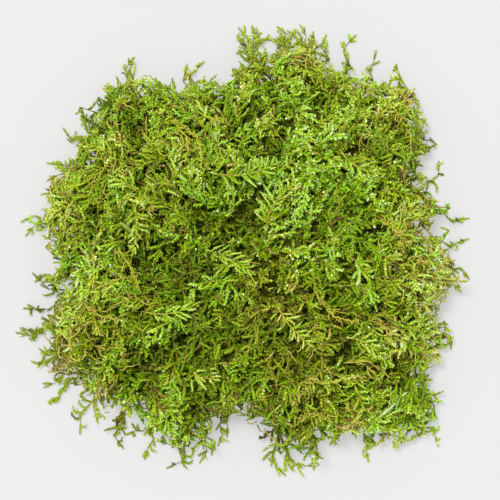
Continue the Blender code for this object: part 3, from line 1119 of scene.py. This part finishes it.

# %% [markdown]
# ## Reading the chart in a material
#
# All moss finishes read the same chart, so that reading is a node group, built once. It
# takes the UV place apart into the cell's column and row, which are hue and age, with the
# painted shade and glints that age carries, and the place inside the cell, which is the
# place on the leaf. A group keeps the arithmetic out of the materials, and a change to it
# reaches all of them.

# %% Build the chart reader
chart_reader = bpy.data.node_groups.new("chart reader", "ShaderNodeTree")
for label in ("Hue", "Age", "Across", "Along"):
    chart_reader.interface.new_socket(label, in_out="OUTPUT", socket_type="NodeSocketFloat")
reader_out = wire(chart_reader, "NodeGroupOutput", 900, 0)
chart_uv = wire(chart_reader, "ShaderNodeUVMap", -700, 0, uv_map=CHART)
chart_split = wire(chart_reader, "ShaderNodeSeparateXYZ", -500, 0)
chart_reader.links.new(chart_uv.outputs[0], chart_split.inputs[0])
for axis, cells, cell_label, inner_label, y in (
    (0, HUE_CELLS, "Hue", "Across", 200), (1, AGE_CELLS, "Age", "Along", -200),
):
    scaled = arithmetic(chart_reader, "MULTIPLY", chart_split.outputs[axis], cells, -300, y)
    cell = arithmetic(chart_reader, "FLOOR", scaled, None, -100, y + 80)
    chosen = arithmetic(chart_reader, "DIVIDE", cell, cells - 1, 100, y + 80, clamp=True)
    inside = arithmetic(chart_reader, "FRACT", scaled, None, -100, y - 80)
    inside = arithmetic(chart_reader, "SUBTRACT", inside, CELL_MARGIN, 100, y - 80)
    inside = arithmetic(chart_reader, "DIVIDE", inside, 1 - 2 * CELL_MARGIN, 300, y - 80, clamp=True)
    chart_reader.links.new(chosen, reader_out.inputs[cell_label])
    chart_reader.links.new(inside, reader_out.inputs[inner_label])
print("chart reader nodes:", len(chart_reader.nodes))

# %% [markdown]
# ## The living and the dead moss
#
# Colour runs from fresh green over olive and straw to the brown of old stems. Age makes it
# darker or paler, and with it the painted shade that age carries. On each leaf the midrib is
# a little paler than the blades, and the foot is darker: partly the leaf's own colour,
# partly painted shade where it meets the branch. Moss leaves are thin and smooth, so they
# shine softly, most near the tip. The outer half of a young leaf turns pale, partly its own
# pale tip and partly a painted highlight, and that of the few palest ones nearly white, a
# painted glint; these give the white glints all over the moss. Dead moss is the same with
# less shine, and its leaves hardly turn pale.

# %% Mix the moss finish
HUE_STOPS = [
    (0.00, (0.280, 0.580, 0.000)),
    (0.15, (0.330, 0.600, 0.000)),
    (0.30, (0.410, 0.600, 0.002)),
    (0.45, (0.490, 0.560, 0.016)),
    (0.62, (0.600, 0.470, 0.085)),
    (0.78, (0.540, 0.360, 0.055)),
    (0.90, (0.210, 0.120, 0.025)),
    (1.00, (0.080, 0.050, 0.014)),
]
MIDRIB_WIDTH = 0.18
MIDRIB_STRENGTH = 0.35
MIDRIB_COLOUR = (0.60, 0.66, 0.17, 1)
GLINT_COLOUR = (0.84, 0.86, 0.66, 1)


def moss_finish(name, shine, pale_tip_glint_strength):
    """A leafy finish that reads its colours from the chart."""
    material, tree, shader = new_finish(name, shine=shine)
    reader = wire(tree, "ShaderNodeGroup", -1300, 0, node_tree=chart_reader)
    hue, age, across, along = (reader.outputs[k] for k in ("Hue", "Age", "Across", "Along"))
    colour = ramp(tree, hue, HUE_STOPS, -1050, 300)
    shade = ramp(tree, age, [(0.0, 0.36), (0.5, 0.79), (0.8, 1.22)], -1050, 0)
    colour = blended(tree, "MULTIPLY", 1.0, colour, shade, -700, 250)
    off_midrib = arithmetic(tree, "SUBTRACT", across, 0.5, -1050, -250)
    off_midrib = arithmetic(tree, "ABSOLUTE", off_midrib, None, -900, -250)
    midrib = arithmetic(tree, "LESS_THAN", off_midrib, MIDRIB_WIDTH / 2, -750, -250)
    midrib = arithmetic(tree, "MULTIPLY", midrib, MIDRIB_STRENGTH, -600, -250)
    colour = blended(tree, "MIX", midrib, colour, MIDRIB_COLOUR, -450, 200)
    # Darker leaf foot: partly the leaf's own colour, partly painted shade where it meets the branch.
    foot = ramp(tree, along, [(0.0, 0.55), (0.4, 1.0)], -700, -500)
    colour = blended(tree, "MULTIPLY", 1.0, colour, foot, -250, 150)
    # Pale leaf tips: partly the leaf's own pale tip, partly a painted highlight; on the glint leaves
    # nearly white, a painted glint.
    pale_tip_glint = ramp(tree, along, [(0.3, 0.0), (0.6, 1.0)], -700, -750)
    tip_glint_by_age = ramp(tree, age, [(0.54, 0.0), (0.90, 0.30), (1.0, 1.0)], -700, -950)
    pale_tip_glint = arithmetic(tree, "MULTIPLY", pale_tip_glint, tip_glint_by_age, -450, -750)
    pale_tip_glint = arithmetic(tree, "MULTIPLY", pale_tip_glint, pale_tip_glint_strength, -250, -750)
    colour = blended(tree, "MIX", pale_tip_glint, colour, GLINT_COLOUR, -50, 150)
    tree.links.new(colour, shader.inputs["Base Color"])
    rough = ramp(tree, along, [(0.0, 0.55), (0.6, 0.22)], -450, -500)
    tree.links.new(rough, shader.inputs["Roughness"])
    return material


living = moss_finish("living moss", shine=0.15, pale_tip_glint_strength=1.0)
dead = moss_finish("dead moss", shine=0.12, pale_tip_glint_strength=0.2)
print("finishes:", living.name, "and", dead.name)

# %% [markdown]
# ## Joining the carpet
#
# The carpet could be one mesh, but one of seven hundred thousand faces is slow to handle.
# So it is cut by place into the middle and four sides, and the old shoots underneath are
# a sixth piece. Nobody sees the joins, because branches of neighbouring pieces cross.

# %% Join the carpet's pieces
SIDES = ("middle", "lower_left", "lower_right", "upper_right", "upper_left", "underneath")
for side, rows, plants in zip(SIDES, tables, (*carpet, old)):
    parts = [leaf_parts(rows), *twig_parts(rows), *stem_parts(plants.stems)]
    moss_piece(f"carpet_{side}", parts, living, "moss_mat")

# %% [markdown]
# ## The felt inside
#
# Between the branches one looks down on old moss, matted into a felt. It is a smaller copy
# of the mat, whose surface is moved inwards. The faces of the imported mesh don't share
# their corners, so equal corners are joined first, or each face would move on its own and
# tear the surface open. The felt's sole is lifted a little, to leave room for the stems
# that are woven under it.

# %% Shrink a copy of the mat
FELT_DEPTH = 7.0 * MM
FELT_SOLE = 1.7 * MM
FULL_DEPTH_FROM = 20 * MM

mould = bmesh.new()
mould.from_mesh(mat.data)
bmesh.ops.remove_doubles(mould, verts=mould.verts, dist=0.01 * MM)
mould.normal_update()
for vertex in mould.verts:
    share = min(1, vertex.co.z / FULL_DEPTH_FROM)
    inwards = vertex.co.xy - vertex.normal.xy * FELT_DEPTH * (1.3 - 0.5 * share)
    lowered = vertex.co.z - FELT_DEPTH * share * max(0.0, vertex.normal.z)
    vertex.co = (*inwards, max(FELT_SOLE, lowered))
felt_mesh = bpy.data.meshes.new("felt")
mould.to_mesh(felt_mesh)
mould.free()
print("corners of the shrunk mat:", len(felt_mesh.vertices))

# %% [markdown]
# ## A rough skin for the felt
#
# The shrunk copy is smooth and has large faces. A voxel remesh is the simplest way to get
# an even, closed skin out of a mesh whose faces differ in size. Then two layers of noise
# move every corner in or out, because a bump in the material alone would leave the
# felt's edges smooth.

# %% Remesh and roughen the felt
FELT_VOXEL = 1.8 * MM
FELT_ROUGHNESS = 1.3 * MM
LOWEST_FELT = 0.5 * MM

felt = bpy.data.objects.new("felt", felt_mesh)
bpy.context.scene.collection.objects.link(felt)
remesh = felt.modifiers.new("even faces", "REMESH")
remesh.mode = "VOXEL"
remesh.voxel_size = FELT_VOXEL
graph = bpy.context.evaluated_depsgraph_get()
even = bpy.data.meshes.new_from_object(felt.evaluated_get(graph))
felt.modifiers.clear()
felt.data = even
for vertex in even.vertices:
    rough = noise.noise(vertex.co / (2.2 * MM)) + 0.5 * noise.noise(vertex.co / (1.1 * MM))
    vertex.co += vertex.normal * rough * FELT_ROUGHNESS
    vertex.co.z = max(vertex.co.z, LOWEST_FELT)
print("felt faces:", len(even.polygons))

# %% [markdown]
# ## The felt's finish
#
# Deep in the mat old moss is a dark olive, and at its sole, where no light comes, brown. So
# the colour depends on the height of a point over the table. Two noises at different
# scales add patches and fibres. The finer one also drives a bump, so the light breaks up
# as it does on matted threads.

# %% Mix the colours of the felt
OLD_OLIVES = [(0.3, (0.042, 0.060, 0.001)), (0.7, (0.105, 0.110, 0.004))]
SOLE_BROWN = (0.075, 0.046, 0.016, 1)
BROWN_FROM = 7 * MM
ALL_BROWN = 2 * MM
PATCH_SCALE = 140
THREAD_SCALE = 950

felt_finish, felt_tree, felt_shader = new_finish("old felted moss", roughness=0.9, shine=0.15)
felt_place = wire(felt_tree, "ShaderNodeTexCoord", -1300, 0).outputs["Object"]
felt_height = wire(felt_tree, "ShaderNodeSeparateXYZ", -1100, 450)
felt_low = wire(felt_tree, "ShaderNodeMapRange", -900, 450)
felt_low.inputs["From Min"].default_value = BROWN_FROM
felt_low.inputs["From Max"].default_value = ALL_BROWN
felt_tree.links.new(felt_place, felt_height.inputs[0])
felt_tree.links.new(felt_height.outputs[2], felt_low.inputs[0])
felt_noises = []
for scale, detail, y in ((PATCH_SCALE, 2, 200), (THREAD_SCALE, 4, -150)):
    texture = wire(felt_tree, "ShaderNodeTexNoise", -1000, y)
    texture.inputs["Scale"].default_value = scale
    texture.inputs["Detail"].default_value = detail
    felt_tree.links.new(felt_place, texture.inputs["Vector"])
    felt_noises.append(texture.outputs[0])
patches, threads = felt_noises
felt_colour = ramp(felt_tree, patches, OLD_OLIVES, -750, 200)
felt_colour = blended(felt_tree, "MIX", felt_low.outputs[0], felt_colour, SOLE_BROWN, -550, 350)
felt_light = ramp(felt_tree, threads, [(0.42, 0.40), (0.62, 2.1)], -750, -150)
felt_colour = blended(felt_tree, "MULTIPLY", 1.0, felt_colour, felt_light, -450, 100)
felt_tree.links.new(felt_colour, felt_shader.inputs["Base Color"])
felt_bump = wire(felt_tree, "ShaderNodeBump", -450, -250)
felt_bump.inputs["Distance"].default_value = 0.8 * MM
felt_tree.links.new(threads, felt_bump.inputs["Height"])
felt_tree.links.new(felt_bump.outputs[0], felt_shader.inputs["Normal"])
print("felt finish nodes:", len(felt_tree.nodes))

# %% [markdown]
# ## Putting the felt in its place
#
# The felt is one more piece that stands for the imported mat, beside the six of the carpet.
# A remeshed mesh keeps no material, so the felt gets its finish last.

# %% Give the felt its finish and its body
felt.data.materials.clear()
felt.data.materials.append(felt_finish)
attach(felt, "root")
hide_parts("moss_mat")
print("felt:", felt.data.materials[0].name, "on", len(felt.data.polygons), "faces")

# %% [markdown]
# ## The loose shoots
#
# Some plants lie loose: green ones come out from under the rim or lie over the crown, and
# dead ones lie on the top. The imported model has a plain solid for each, along a bowed path
# from a root to a tip. The same paths are repeated here, because a path is easier to dress
# with branches than a solid is.

# %% Repeat the paths of the loose shoots
# Each row is root x, y, tip x, y, sideways bow and reach, in the table's millimetres.
RIM_SHOOTS = [
    (8, 63, 0, 77, 1.5, 4.2), (14, 64, 16, 78.5, -1.0, 3.8), (21, 65, 24, 78, -1.0, 3.8),
    (27, 60, 30, 74.5, -1.0, 3.4), (39, 54, 38.5, 75, 1.0, 4.4), (46, 55, 46.5, 68, -1.0, 3.4),
    (58, 12, 70.5, 28, -2.0, 4.6), (60, 14, 79, 9.5, 1.5, 4.2), (62, 2, 79, 0.5, 1.0, 3.6),
    (66, -5, 80, -10, 2.0, 3.6), (62, -28, 76, -34, 1.0, 3.4), (54, -56, 71, -68.5, -1.0, 3.8),
    (44, -58, 46.5, -75, -1.0, 3.4), (28, -60, 25.5, -77.5, -1.0, 3.4),
    (14, -62, 23, -81, -3.5, 4.4), (-6, -54, -9, -69, 1.0, 3.4), (-12, -56, -14, -76, -1.0, 3.6),
    (-20, -60, -23.5, -80, 1.5, 4.4), (-30, -58, -33.5, -74.5, -1.0, 3.4),
    (-40, -54, -45, -71, -2.0, 4.2), (-52, -44, -60, -64.5, 1.5, 5.2),
    (-56, -42, -68.5, -54, 1.0, 4.4), (-60, -36, -74, -42.5, 1.0, 3.4),
    (-60, -28, -79, -33, -1.0, 3.6), (-54, -10, -76, -24, 1.5, 4.6), (-56, -6, -73, -12, 1.0, 3.6),
    (-62, 8, -77.5, 11, 1.0, 3.4), (-54, 22, -67, 31, 1.0, 3.4), (-50, 36, -63, 41, 1.0, 3.4),
    (-36, 54, -42, 66.5, 1.0, 3.4), (-16, 52, -18, 65.5, 1.0, 3.4),
]
CROWN_SHOOTS = [
    (-34, -23, -18, -21, -1.5, 3.4), (-14, -1, 2, -8, 1.0, 3.4), (-38, 15, -38, 0, 1.0, 3.4),
    (-12, 26, 10, 28, -2.0, 5.0), (8, 4, 16, 20, 2.0, 5.0), (36, -32, 48, -38, 1.5, 3.4),
    (12, -20, 22, -33, -1.0, 3.6), (34, 34, 46, 26, -1.5, 3.4),
]
DRY_SHOOTS = [
    (-26, 44, -14, 30, 3.5, 3.4), (-18, 50, -6, 45, -2.0, 3.4), (36, -41, 49, -44, 2.5, 3.0),
    (27, -18, 40, -26, -2.5, 3.4), (44, -26, 53, -34, 2.0, 3.2), (-45, -1, -37, -13, 1.5, 3.2),
    (-57, -19, -44, -25, -2.0, 3.2), (47, 9, 58, 3, 1.5, 3.2), (18, -64, 29, -61, 2.0, 3.0),
]
PATH_STEPS = 16


def bowed_path(row):
    """Points on a stem that bows sideways from its root to its tip, as in the part."""
    root, tip = from_table(row[0], row[1]), from_table(row[2], row[3])
    along = tip - root
    side = Vector((-along.y, along.x, 0)).normalized()
    middle = (root + tip) / 2 + side * row[4] * 2 * MM
    share = np.linspace(0, 1, PATH_STEPS)[:, None]
    root, middle, tip = (np.array(v[:]) for v in (root, middle, tip))
    return root * (1 - share) ** 2 + middle * 2 * share * (1 - share) + tip * share**2


print("loose shoots:", len(RIM_SHOOTS) + len(CROWN_SHOOTS) + len(DRY_SHOOTS))

# %% [markdown]
# ## Fitting a path to its solid
#
# A path says where a shoot lies as seen from above. How much of it is free, and how high it
# lies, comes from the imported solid: a rim shoot is only dressed over its solid's box, and
# one on the mat takes its height by looking down on its own solid with rays.

# %% Read the place and the height of a solid
def near_node(points, node, margin):
    """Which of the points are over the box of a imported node, with a margin."""
    low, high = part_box(node)
    above_low = points[:, :2] > np.array(low[:2]) - margin
    below_high = points[:, :2] < np.array(high[:2]) + margin
    return np.all(above_low & below_high, axis=1)


def height_on(node, points):
    """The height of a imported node's top along a path, filled in where the path misses it."""
    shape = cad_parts[node].data
    tree = BVHTree.FromPolygons([v.co for v in shape.vertices], [f.vertices for f in shape.polygons])
    hits = [tree.ray_cast(Vector((p[0], p[1], 0.2)), Vector((0, 0, -1)))[0] for p in points]
    known = [index for index, hit in enumerate(hits) if hit]
    return np.interp(range(len(points)), known, [hits[index].z for index in known])


crown_heights = height_on("crown_shoot_01", bowed_path(CROWN_SHOOTS[0]))
print("the first crown shoot lies", (crown_heights / MM).min().round(1), "mm high or more")

# %% [markdown]
# ## Dressing a loose shoot
#
# The same feather as in the carpet grows along each path. A single feather looks like a
# drawing of one. Where shoots lie in a tangle in the photograph, a few companions
# leave the same root at other angles, and are a little shorter.

# %% Dress a path with leafy branches
LOOSE_SPACING = 2.8 * MM
COMPANION_TURN = 0.45
COMPANION_LENGTH = (0.6, 0.95)


def loose_shoot(
    name, row, points, hue, age, leaf, opening, curling, finish,
    others=0, spacing=LOOSE_SPACING,
):
    """Feathers of leafy branches along a path that lies free, and along others beside it."""
    plants = Sprigs()
    for number in range(1 + others):
        path = points
        if number:
            swing = Matrix.Rotation(rng.normal(0, COMPANION_TURN), 3, "Z")
            swing = np.array(swing) * rng.uniform(*COMPANION_LENGTH)
            path = points[0] + (points - points[0]) @ swing.T
        headings = unit(np.gradient(path, axis=0))
        outwards = np.broadcast_to(np.array((0.0, 0.0, 1.0)), path.shape)
        reach = row[5] * rng.uniform(1.1, 1.4) * MM
        stem = (path, headings, outwards)
        feather(plants, stem, reach, 0.0, hue, age, leaf, opening, spacing, curling)
    rows = plants.table()
    lift_off_table(rows)
    parts = [leaf_parts(rows), *twig_parts(rows), *stem_parts(plants.stems)]
    moss_piece(name, parts, finish, name)


print("companions turn by about", round(math.degrees(COMPANION_TURN)), "degrees")

# %% [markdown]
# ## Shoots round the rim
#
# The rim shoots lie on the table. Each is a low arch, so that only its root and its tip come
# near the table, and it wiggles more and more towards the tip. Their branches are
# narrow and curly. The first few, at the top of the clump, are bushy and get three
# companions, and those along the lower and left edges get one.

# %% Grow the rim shoots
BUSHY = 3
SINGLE_UP_TO = 13
ARCH = 3.0

for number, row in enumerate(RIM_SHOOTS, 1):
    name = f"rim_shoot_{number:02d}"
    points = bowed_path(row)
    points = points[near_node(points, name, 2.5 * MM)]
    share = np.linspace(0, 1, len(points))
    points[:, 2] = (1.0 + ARCH * share * (1 - share) ** 1.2) * MM
    across = unit(np.cross(np.gradient(points, axis=0), (0, 0, 1)))
    points += across * (np.sin(share * 8 + number) * share)[:, None] * 1.5 * MM
    hue = 0.30 + 0.6 * spots_at(DRY_SPOTS, points[-3:-2])[0] + rng.normal(0, 0.08)
    others = 3 if number <= BUSHY else int(number > SINGLE_UP_TO)
    age = 0.44 + rng.normal(0, 0.08)
    loose_shoot(
        name, row, points, hue, age, leaf=1.15, opening=11, curling=2.2,
        finish=living, others=others,
    )
print("rim shoots:", len(RIM_SHOOTS))

# %% [markdown]
# ## Shoots over the crown
#
# The shoots on the crown are the clearest in the photograph: young pale feathers, combed
# evenly with nearly straight branches. They lie on their plain solids' tops, sunk in a
# little so that the stem doesn't float.

# %% Grow the crown shoots
COMB_SPACING = 1.7 * MM

for number, row in enumerate(CROWN_SHOOTS, 1):
    name = f"crown_shoot_{number:02d}"
    points = bowed_path(row)
    points[:, 2] = height_on(name, points) - 0.4 * MM
    hue = 0.26 + rng.normal(0, 0.05)
    loose_shoot(
        name, row, points, hue, age=0.72, leaf=0.9, opening=19, curling=0.7,
        finish=living, spacing=COMB_SPACING,
    )
print("crown shoots:", len(CROWN_SHOOTS))

# %% [markdown]
# ## Dead shoots
#
# Dead shoots have lost their colour, and their leaves have shrunk close to the stems. They
# are the same feathers with leaves less than half the size, strong curls and an
# unsteady stem, in straw colours. Each has one companion.

# %% Grow the dry shoots
STEM_UNREST = 0.28

for number, row in enumerate(DRY_SHOOTS, 1):
    name = f"dry_shoot_{number:02d}"
    points = bowed_path(row)
    points[:, 2] = height_on(name, points) - 0.3 * MM
    points[:, :2] += rng.normal(0, STEM_UNREST, (len(points), 2)) * MM
    hue = 0.52 + rng.normal(0, 0.04)
    loose_shoot(
        name, row, points, hue, age=0.76, leaf=0.45, opening=12, curling=2.4,
        finish=dead, others=1,
    )
print("dry shoots:", len(DRY_SHOOTS))

# %% [markdown]
# ## Dry strands
#
# Bare stems of last year's plants lie all through the moss, straw-coloured, thin and
# curly, many with a hook at the tip. Each is a walk over the surface that turns a little at
# every step, to either side by chance. At a few steps it turns sharply, and its last
# steps all turn the same way, which makes the hook.

# %% Walk a dry strand
STRAND_STEPS = 11
STRAND_WIGGLE = 0.40
HOOK_BEND = 1.1
HOOK_CHANCE = 0.08


def curly_strand(start):
    """A thin dry stem that wanders over the mat and ends in a hook."""
    nearest, outward, _, _ = surface.find_nearest(start)
    turn = rng.uniform(0, 6.28)
    heading = Vector((math.cos(turn), math.sin(turn), 0))
    step = rng.uniform(3, 11) * MM / STRAND_STEPS
    curls = rng.normal(0, STRAND_WIGGLE, STRAND_STEPS) + rng.normal(0, 0.10)
    hook_chances = (HOOK_CHANCE, 1 - 2 * HOOK_CHANCE, HOOK_CHANCE)
    curls += rng.choice((-HOOK_BEND, 0, HOOK_BEND), STRAND_STEPS, p=hook_chances)
    curls[-4:] += rng.normal(0, 0.5)
    height = rng.uniform(-1.6, 0.6) * MM
    place, points = nearest, []
    for index in range(STRAND_STEPS):
        nearest, facing, _, _ = surface.find_nearest(place)
        outward = (outward * 0.6 + facing * 0.4).normalized()
        heading = (heading - outward * heading.dot(outward)).normalized()
        heading = (heading + outward.cross(heading) * curls[index]).normalized()
        arch = math.sin(math.pi * index / STRAND_STEPS) * 1.2 * MM
        points.append((nearest + outward * (height + arch))[:])
        place = nearest + heading * step
    return points


print("sharp bends on a strand:", round(2 * HOOK_CHANCE * STRAND_STEPS, 1), "on average")

# %% [markdown]
# ## Laying the strands
#
# Strands are thrown over the whole mat, and then only those in the driest places are kept,
# with a little chance, so that a few lie among the green as well. They are bare tubes that
# get thinner towards the tip, and they differ in colour from pale straw to brown.

# %% Lay the dry strands
STRANDS = 460
STRAND_SPACING = 3.0 * MM

strand_starts = throw_darts(STRAND_SPACING, -0.2)
dryness = 0.35 + 3.0 * spots_at(DRY_SPOTS, strand_starts) + 0.3 * rng.random(len(strand_starts))
order = np.argsort(-dryness)[:STRANDS]
paths = np.array([curly_strand(strand_starts[index]) for index in order])
thick = rng.uniform(0.17, 0.31, len(paths))[:, None] * np.linspace(1, 0.5, STRAND_STEPS) * MM
paths[:, :, 2] = np.maximum(paths[:, :, 2], 0.5 * MM)
strand_hue = np.clip(rng.normal(0.54, 0.07, len(paths)), 0, 0.95)
strand_age = np.clip(rng.normal(0.72, 0.20, len(paths)), 0, 1)
strand_part = tube_parts(paths, thick, strand_hue, strand_age)
moss_piece("dry_strands", [strand_part], dead, "moss_mat")

# %% [markdown]
# ## The underside
#
# Lifted from the ground, the mat's underside is a flat tangle of brown stems pressed
# together. They are walked like the strands, but on a flat plane and turning more gently.
# A stem is kept only if both of its ends are well under the mat, so that none of them
# shows from above.

# %% Weave the underside
SOLE_STEMS = 1700
SOLE_STEPS = 6
SOLE_REACH = 11 * MM
SOLE_LEVELS = (0.5, 1.9)
SOLE_MARGIN = 3 * MM

sole_paths = []
while len(sole_paths) < SOLE_STEMS:
    x, y = rng.uniform(cad_box[0].x, cad_box[1].x), rng.uniform(cad_box[0].y, cad_box[1].y)
    turn, curl = rng.uniform(0, 6.28), rng.normal(0, 0.3)
    level = rng.uniform(*SOLE_LEVELS) * MM
    points = []
    for step in range(SOLE_STEPS):
        points.append((x, y, level + 0.25 * MM * math.sin(step * 1.3 + turn)))
        x += math.cos(turn) * SOLE_REACH / SOLE_STEPS
        y += math.sin(turn) * SOLE_REACH / SOLE_STEPS
        turn += curl
    if over_mat(np.array(points[::SOLE_STEPS - 1]), SOLE_MARGIN).all():
        sole_paths.append(points)
sole_paths = np.array(sole_paths)
sole_thick = rng.uniform(0.18, 0.32, SOLE_STEMS)[:, None] * np.ones(SOLE_STEPS) * MM
sole_hue = np.clip(rng.normal(0.84, 0.08, SOLE_STEMS), 0, 1)
sole_age = np.clip(rng.normal(0.55, 0.2, SOLE_STEMS), 0, 1)
sole_part = tube_parts(sole_paths, sole_thick, sole_hue, sole_age)
moss_piece("underside_stems", [sole_part], dead, "moss_mat")

# %% [markdown]
# ## The table
#
# The clump lies on a plain white surface, which the photograph shows as an even pale grey
# with faint shadows. A white surface that is only lit shows much stronger ones. This one is
# darker than white and glows a little: light that a surface gives off by itself has no
# shadows in it, so together they come out pale, and as faint as in the photograph.

# %% Lay the table
TABLE_SIDE = 6.0
CORNER_SIGNS = ((-1, -1), (1, -1), (1, 1), (-1, 1))

floor_mesh = bpy.data.meshes.new("floor")
table_corners = [(x * TABLE_SIDE / 2, y * TABLE_SIDE / 2, 0) for x, y in CORNER_SIGNS]
floor_mesh.from_pydata(table_corners, [], [(0, 1, 2, 3)])
floor = bpy.data.objects.new("floor", floor_mesh)
bpy.context.scene.collection.objects.link(floor)
floor_finish, _, _ = new_finish(
    "white table", colour=(0.30, 0.30, 0.30, 1), roughness=0.9, shine=0.0,
    glow=(1, 1, 1, 1), glow_strength=0.42,
)
floor_mesh.materials.append(floor_finish)
floor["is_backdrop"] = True
print("table:", TABLE_SIDE, "m wide")

# %% [markdown]
# ## The light
#
# The shadows in the photograph are soft and fall to the lower right. A sun lamp from the
# upper left gives that direction. Its wide angle blurs the shadows, as a large window
# does, and an even white world fills them with light from all round. The Standard view
# transform shows colours as they are mixed, where Blender's default would dull the greens.

# %% Set the light
SUN_STRENGTH = 2.33
SUN_WIDTH = math.radians(16)
SUN_RAYS = Vector((0.24, -0.30, -1.0))
WORLD_STRENGTH = 0.825

sun_data = bpy.data.lights.new("window light", "SUN")
sun_data.energy = SUN_STRENGTH
sun_data.angle = SUN_WIDTH
sun = bpy.data.objects.new("window light", sun_data)
sun.rotation_euler = SUN_RAYS.to_track_quat("-Z", "Y").to_euler()
bpy.context.scene.collection.objects.link(sun)
world = bpy.data.worlds.new("studio")
bpy.context.scene.world = world
world.use_nodes = True
background = world.node_tree.nodes["Background"]
background.inputs["Color"].default_value = (1, 1, 1, 1)
background.inputs["Strength"].default_value = WORLD_STRENGTH
bpy.context.scene.view_settings.view_transform = "Standard"
print("sun:", SUN_STRENGTH, "over", round(math.degrees(SUN_WIDTH)), "degrees")

# %% [markdown]
# ## The camera
#
# The camera looks straight down, as the photograph does. A long lens from far up shows the
# clump with hardly any perspective. Its height follows from the width that the photograph
# shows at about the level of the rim, and it is moved aside by as much as the zero of the
# table of shoots lies off the photograph's centre.

# %% Set the camera
RIM_LEVEL = 12 * MM
LENS = 160
SENSOR = 36

camera_data = bpy.data.cameras.new("camera")
camera_data.lens = LENS
camera_data.sensor_width = SENSOR
camera = bpy.data.objects.new("camera", camera_data)
view_width = PHOTO_SIDE * PIXEL
camera_height = RIM_LEVEL + view_width * LENS / SENSOR
off_centre = ((PHOTO_SIDE / 2 - ZERO_PIXEL[0]) * PIXEL, (ZERO_PIXEL[1] - PHOTO_SIDE / 2) * PIXEL)
camera.location = ZERO_PLACE + Vector((off_centre[0], off_centre[1], camera_height))
bpy.context.scene.collection.objects.link(camera)
bpy.context.scene.camera = camera
print("camera height:", round(camera_height, 3), "m")

# %% Compare the sizes and finish
sizes = {"cad": [list(c) for c in cad_box], "visual": [list(c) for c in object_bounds()]}
print("size:", {k: [round((b - a) / MM, 1) for a, b in zip(*v)] for k, v in sizes.items()})
